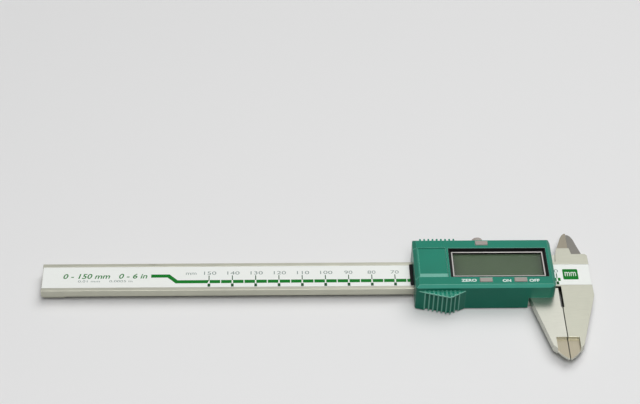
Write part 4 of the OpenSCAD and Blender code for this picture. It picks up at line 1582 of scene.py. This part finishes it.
        # the lower bevel is painted lighter, as lit, and its rounded upper edge gets a painted highlight
        for finish, tilt in ((BEVEL_LIGHT_PLASTIC, 0.6), (EDGE_HIGHLIGHT_PLASTIC, 0.76)):
            shell.paint(finish, lambda f: self.on_bevel(f) and tilt < f.normal.z < 0.98)
        shell.finish("housing_shell", Body.SLIDER, HOUSING_PLASTIC, "housing_plastic", "housing")
        self.words()

    def on_bevel(self, face: bpy.types.MeshPolygon) -> bool:
        """Whether a face is part of the lower bevel of the front."""
        return face.center.z > self.z1 - self.bevel and face.normal.y < -0.15

    def rim(self, edge: bmesh.types.BMEdge) -> bool:
        """Whether an edge is the front rim of the display's or a key's opening."""
        flat = all(abs(vert.co.z - self.z1) < 0.01 for vert in edge.verts)
        return flat and middle(edge).x > high("battery_lid").x + 0.2 and edge.calc_face_angle(0) > 1.2


@dataclass
class BatteryBay:
    """The battery lid, the coin cell and its contacts.

    Attributes:
        shell: The housing that they fit in.
        band: Width of the lid's sloping band.
        band_drop: Depth of its lower edge below the lid's face.
        ridge: Width of the raised ridge at the lid's far end, beyond the bevel.
        can_foot: How far the coin cell's can stands above its cap's foot.
        cap_t: Height of the cap.
        cap_in: How much smaller the cap's radius is than the can's.
        seal: How much smaller the sealing ring's radius is.
    """

    shell: Housing
    band: float = 2.3
    band_drop: float = 0.6
    ridge: float = 0.6
    can_foot: float = 0.5
    cap_t: float = 0.6
    cap_in: float = 0.6
    seal: float = 0.35

    def lid(self) -> None:
        """The sunk lid: a flat, a sloping band, a ridge and an end wall."""
        lo, hi = corners("battery_lid")
        shell, z0 = self.shell, self.shell.lid_z
        x0, z1 = lo.x, z0 + shell.lid_t
        y0, y1 = lo.y + shell.tongue, hi.y - shell.tongue
        face = Piece.block((x0, y0, z0), (hi.x, y1, z1))
        face.slice((0, y0 + self.band, 0), (0, 1, 0), clear=False)
        face.shift(
            Part.EDGE,
            lambda e: middle(e).z > z1 - 0.01 and middle(e).y < y0 + 0.01,
            (0, 0, -self.band_drop),
        )
        face.bevel(lambda e: abs(middle(e).y - y0 - self.band) < 0.01 and middle(e).z > z0 + 0.1, 0.2, 3)
        ridge_x = x0 + shell.bevel + self.ridge
        face.weld(
            Piece.block((x0, lo.y, z0), (hi.x, hi.y, z0 + shell.tongue_t)),
            Piece.block((x0 - 1, y0, z0), (ridge_x, y1, shell.z1 + 1)),
            Piece.block((x0 - 1, y0, lo.z), (x0 + shell.wall - shell.seat, y1, shell.z1)),
        )
        face.combine("INTERSECT", shell.outer())
        face.bevel(
            lambda e: all(v.co.z > z1 - 0.01 for v in e.verts) and e.calc_face_angle(0) > 1.2,
            0.08,
            2,
            clamp=False,
        )
        # the sloping band is painted lighter: a painted highlight
        face.paint(
            BAND_HIGHLIGHT_PLASTIC,
            lambda f: 0.5 < f.normal.z < 0.99 and f.normal.y < -0.12 and f.center.y < y0 + self.band,
        )
        face.finish("battery_cover", Body.LID, HOUSING_PLASTIC, "housing_plastic", "battery_lid")

    def cell(self) -> None:
        """The coin cell: a can with a rounded rim, and a cap in its sealing ring."""
        lo, hi = corners("battery_cell")
        x, y, r = (lo.x + hi.x) / 2, (lo.y + hi.y) / 2, (hi.x - lo.x) / 2
        foot, height = lo.z + self.can_foot, hi.z - lo.z - self.can_foot
        can = Piece.rod((x, y, (foot + hi.z) / 2), r, height, sides=72).round_top(0.35, 4)
        can.inset(lambda f: f.normal.z > 0.99, (0.5, 0), (0.12, -0.05))
        cap = Piece.rod((x, y, lo.z + self.cap_t / 2), r - self.cap_in, self.cap_t, sides=72)
        cap.bevel(lambda e: middle(e).z < lo.z + 0.01, 0.15, 3)
        ring = Piece.rod((x, y, lo.z + 0.4), r - self.seal, 0.3, sides=72).paint(BLACK_PLASTIC, every)
        nickel = Turned("cell_steel", srgb(178, 174, 163), (x, y, 0))
        can.obj.data.materials.append(nickel.material())
        can.gather(cap, ring).finish("coin_cell", Body.SLIDER, nickel, "cell_steel", "battery_cell")

    def build(self) -> None:
        """Builds the lid and the cell, and dresses the contacts."""
        self.lid()
        self.cell()
        dress("battery_contact_minus", CONTACT)
        dress("battery_contact_plus", CONTACT)


@dataclass
class Display:
    """The black bezel, the bright frame, the window and the liquid crystal panel.

    Attributes:
        border: Width of the bezel's border.
        flange: Width of its flange behind the front.
        gap: Clearance round bezel and panel.
        depth: Depth of the bezel's step below the front.
        lip: Width of the lip before the step.
        behind: Depth of the flange below the front.
        rim: Width of the bright frame.
    """

    border: float = 1.2
    flange: float = 0.3
    gap: float = 0.1
    depth: float = 1.1
    lip: float = 0.4
    behind: float = 1.65
    rim: float = 0.6

    def build(self) -> None:
        """Builds the four pieces and dresses the strip behind them."""
        self.bezel()
        self.bright_frame()
        pane = Piece.block(*corners("display_window")).round_top(0.1, 2)
        pane.finish("window_pane", Body.SLIDER, WINDOW, "window", "display_window")
        self.panel()
        dress("contact_strip", RUBBER)

    def bezel(self) -> None:
        """The bezel: a flanged block, cut through for frame and panel."""
        lo, hi = corners("display_bezel")
        face = self.flange + self.gap
        top, step = high("housing").z, high("housing").z - self.depth
        body = Piece.inside(lo, hi, face, lo.z + 1, hi.z).round_top(0.12, 2)
        body.cut(Piece.inside(lo, hi, face + self.lip, step, hi.z + 1))
        body.weld(Piece.block(lo, (hi.x, hi.y, top - self.behind)))
        body.cut(Piece.inside(lo, hi, self.flange + self.border, lo.z - 1, hi.z + 1))
        lcd_lo, lcd_hi = corners("lcd_panel")
        body.cut(Piece.inside(lcd_lo, lcd_hi, -self.gap, lo.z - 1, lcd_hi.z + 0.05))
        body.finish("bezel", Body.SLIDER, BLACK_PLASTIC, "bezel_plastic", "display_bezel")

    def bright_frame(self) -> None:
        """The thin bright frame, rounded outside, with its sides towards the window painted black as
        shade.
        """
        lo, hi = corners("display_frame")
        rim = Piece.block(lo, hi).cut(Piece.inside(lo, hi, self.rim, lo.z - 1, hi.z + 1))
        rim.bevel(lambda e: middle(e).z > hi.z - 0.01 and e.calc_face_angle(0) > 1.2, 0.14, 3)
        inset = self.rim - 0.03
        # the inner sides are painted black: painted shade below the frame's top bar
        rim.paint(
            BLACK_PLASTIC,
            lambda f: abs(f.normal.z) < 0.3
            and all(lo[i] + inset < f.center[i] < hi[i] - inset for i in range(2)),
        )
        rim.finish("bright_rim", Body.SLIDER, BRIGHT_FRAME, "bright_frame", "display_frame")

    def panel(self) -> None:
        """The panel: a glass with a step in its upper edge, darker to its rim, with a wider painted
        shadow from the frame along its upper edge.
        """
        lo, hi = corners("lcd_panel")
        centre, reach = (lo + hi) / 2, (hi - lo) / 2
        # the dark rim's centre is set 0.4 mm lower, so that painted shadow lies wider along the upper
        # edge
        places = (centre.x, centre.y - 0.4), (reach.x - 0.5, reach.y - 0.5)
        finish = CrystalPanel("crystal_panel", srgb(71, 92, 64), srgb(22, 28, 22), *places)
        glass = Piece.block(lo, hi).round_top(0.1, 2)
        glass.inset(lambda f: f.normal.y > 0.9, (0.2, -0.1))
        glass.finish("crystal_glass", Body.SLIDER, finish, "lcd", "lcd_panel")


@dataclass
class Keys:
    """The three keys, each a cap with rounded edges on a flange and a stem.

    Attributes:
        flange: Width of the flange at either end of a cap.
        flange_t: Thickness of the flange.
        behind: Depth of the flange below the front.
        stem: Half the width of the stem.
    """

    flange: float = 0.5
    flange_t: float = 0.6
    behind: float = 1.65
    stem: float = 0.8

    def build(self) -> None:
        """Builds a cap for each key and dresses the switches."""
        for body in (Body.KEY_ZERO, Body.KEY_ON_OFF, Body.KEY_MODE):
            self.key(body)
        dress("key_switches", SCREW_STEEL)

    def key(self, body: Body) -> None:
        """Builds one key.

        Args:
            body: The key's body, whose name is also its node's.
        """
        node = body.value
        lo, hi = corners(node)
        top = high("housing").z - self.behind
        x0, x1 = lo.x + self.flange, hi.x - self.flange
        cap = Piece.block((x0, lo.y + 0.01, top - 0.3), (x1, hi.y - 0.01, hi.z))
        cap.bevel(upright, 0.35, 4).round_top(0.22, 3)
        cap.inset(lambda f: f.normal.z > 0.99 and f.calc_area() > 1, (0.12, -0.04))
        flange = Piece.inside(lo, hi, 0, top - self.flange_t, top)
        stem = Piece.inside(centre_of(node), centre_of(node), -self.stem, lo.z, top - 0.3)
        cap.gather(flange.bevel(every, 0.06, 1), stem)
        cap.finish(node + "_cap", body, KEY_PLASTIC, "key_plastic", node)


@dataclass
class LockScrew:
    """The lock screw with its knurled knob and dished end.

    Attributes:
        knurls: Number of grooves round the knob.
        knob_r: Radius of the knob.
        thread_r: Radius of the shank.
        collar: How far the knob starts above its foot.
        rim: Width of the rounding at the knob's end.
        groove: Width of a groove's side and its depth, as rings are given.
        dish: The dished end's two rings.
        neck_t: Length of the neck behind the knob.
        sunk: How far the knob's foot lies below the tops of the upper ribs.
    """

    knurls: int = 24
    knob_r: float = 2.5
    thread_r: float = 1.5
    collar: float = 0.5
    rim: float = 0.35
    groove: Point = (0.09, -0.16)
    dish: tuple[Point, Point] = ((0.7, 0), (0.25, -0.2))
    neck_t: float = 0.6
    sunk: float = 1.0

    def build(self) -> None:
        """Knurls the knob's side, rounds its rim, dishes its end and adds the shank."""
        lo, hi = corners("lock_screw")
        x, z = (lo.x + hi.x) / 2, (lo.z + hi.z) / 2
        foot = high("housing").y - self.sunk
        length = hi.y - foot - self.collar
        knob = Piece.rod((x, hi.y - length / 2, z), self.knob_r, length, "Y", self.knurls * 2)
        knob.bevel(lambda e: abs(middle(e).y - hi.y) < 0.01, self.rim, 3)
        knob.inset(
            lambda f: abs(f.normal.y) < 0.1 and self.turn(f, x, z) % 2 == 0,
            self.groove,
            each=True,
        )
        knob.inset(lambda f: f.normal.y > 0.99, *self.dish)
        neck = Piece.rod((x, foot + self.neck_t / 2, z), self.knob_r - 0.6, self.neck_t, "Y")
        shank = Piece.rod((x, (lo.y + foot) / 2, z), self.thread_r, foot - lo.y + 0.02, "Y")
        shank.bevel(lambda e: abs(middle(e).y - lo.y) < 0.01, 0.2, 2)
        knob.gather(neck, shank).finish("lock_knob", Body.LOCK_SCREW, KNOB_PLASTIC, "knob", "lock_screw")

    def turn(self, face: bmesh.types.BMFace, x: float, z: float) -> int:
        """Number of a side face, counted round the knob's axis."""
        centre = face.calc_center_median()
        return int(math.atan2(centre.z - z, centre.x - x) % math.tau / math.tau * self.knurls * 2)


@dataclass
class Studio:
    """Plain floor, soft light, pale surroundings and the camera.

    Attributes:
        lens: Focal length, in millimetres on a 36 mm wide sensor.
        turn: Camera's turn round the upright axis, in radians.
        rise: Its height above the horizon, in radians.
        roll: Its roll, in radians.
        place: Its place, in metres.
        pale: Tone of floor and surroundings where they are seen.
        dark: Tone of the floor to the light that it throws back.
        ambient: Level of the light from all round.
    """

    lens: float = 104.06
    turn: float = -0.04795
    rise: float = 0.7617
    roll: float = 0.02809
    place: Point = (-0.13033, -0.55373, 0.57920)
    pale: float = 0.8
    dark: float = 0.16
    ambient: float = 0.11

    def camera(self) -> None:
        """Stands the camera where the object is seen from above its front."""
        data = bpy.data.cameras.new("camera")
        data.lens, data.sensor_width = self.lens, 36.0
        data.clip_start, data.clip_end = 0.01, 50.0
        camera = bpy.data.objects.new("camera", data)
        bpy.context.scene.collection.objects.link(camera)
        flat = math.cos(self.rise)
        back = Vector((math.sin(self.turn) * flat, -math.cos(self.turn) * flat, math.sin(self.rise)))
        right = Vector((math.cos(self.turn), math.sin(self.turn), 0))
        up = back.cross(right)
        side = math.cos(self.roll) * right + math.sin(self.roll) * up
        top = math.cos(self.roll) * up - math.sin(self.roll) * right
        matrix = Matrix((side, top, back)).transposed().to_4x4()
        matrix.translation = Vector(self.place)
        camera.matrix_world = matrix
        bpy.context.scene.camera = camera

    def seen(self, wiring: Wiring) -> Socket:
        """Mask that is 1 where the camera, a reflection or glass looks at a surface.

        Args:
            wiring: Adds the nodes.

        Returns:
            The mask's socket.
        """
        path = wiring.add("LightPath").outputs
        either = wiring.math("MAXIMUM", path["Is Camera Ray"], path["Is Glossy Ray"])
        return wiring.math("MAXIMUM", either, path["Is Transmission Ray"])

    def floor(self) -> None:
        """A wide plain floor under the object, dark only to the light that it would throw back."""
        Piece.clear()
        bpy.ops.mesh.primitive_plane_add(size=8, location=(0, 0, CAD_BOX[0][2] - 0.0002))
        plane = bpy.context.object
        plane.name = "floor"
        material = bpy.data.materials.new("floor")
        material.use_nodes = True
        wiring = Wiring(material.node_tree)
        dark, pale = (self.dark,) * 3 + (1,), (self.pale,) * 3 + (1,)
        values = {"Base Color": wiring.blend(self.seen(wiring), dark, pale), "Roughness": 0.9}
        shader = material.node_tree.nodes["Principled BSDF"]
        wiring.fill(shader, values | {"Specular IOR Level": 0.0})
        plane.data.materials.append(material)

    def surroundings(self) -> None:
        """Even light from all round, pale where it is seen."""
        world = bpy.data.worlds.new("surroundings")
        world.use_nodes = True
        bpy.context.scene.world = world
        wiring = Wiring(world.node_tree)
        background = world.node_tree.nodes["Background"]
        level = wiring.spread(self.seen(wiring), self.ambient, self.pale)
        wiring.fill(background, {"Color": (1, 1, 1, 1), "Strength": level})

    def lamp(self, name: str, place: Point, size: float, power: float, mirrored: bool = True) -> None:
        """A square soft lamp that looks at the object.

        Args:
            name: Its name.
            place: Where it hangs, in metres.
            size: Its side, in metres.
            power: Its power, in watts.
            mirrored: Whether it shows in reflections.
        """
        data = bpy.data.lights.new(name, "AREA")
        data.shape, data.size, data.energy = "SQUARE", size, power
        lamp = bpy.data.objects.new(name, data)
        lamp.visible_glossy = mirrored
        bpy.context.scene.collection.objects.link(lamp)
        aim = Vector((-0.1, 0, 0)) - Vector(place)
        lamp.matrix_world = Matrix.Translation(place) @ aim.to_track_quat("-Z", "Y").to_matrix().to_4x4()

    def build(self) -> None:
        """Sets up the whole studio."""
        self.camera()
        self.floor()
        self.surroundings()
        self.lamp("key", (0.3, 0.46, 1.3), 1.3, 3.4)
        self.lamp("key_matt", (0.35, 0.53, 1.5), 1.3, 10.6, mirrored=False)
        self.lamp("fill", (-0.1, -0.6, 1.2), 0.7, 9.2)
        bpy.context.scene.view_settings.view_transform = "Standard"


def main() -> None:
    """Builds the studio and the caliper, piece by piece."""
    logging.basicConfig(level=logging.INFO, format="%(name)s: %(message)s")
    Studio().build()
    Beam().build()
    Scale().build()
    SliderSteel().build()
    housing = Housing()
    housing.build()
    BatteryBay(housing).build()
    Display().build()
    Keys().build()
    LockScrew().build()
    dress("main_board", LACQUER)
    dress("processor", BLACK_PLASTIC)
    dress("scale_wiper", FELT)


if __name__ == "__main__":
    main()
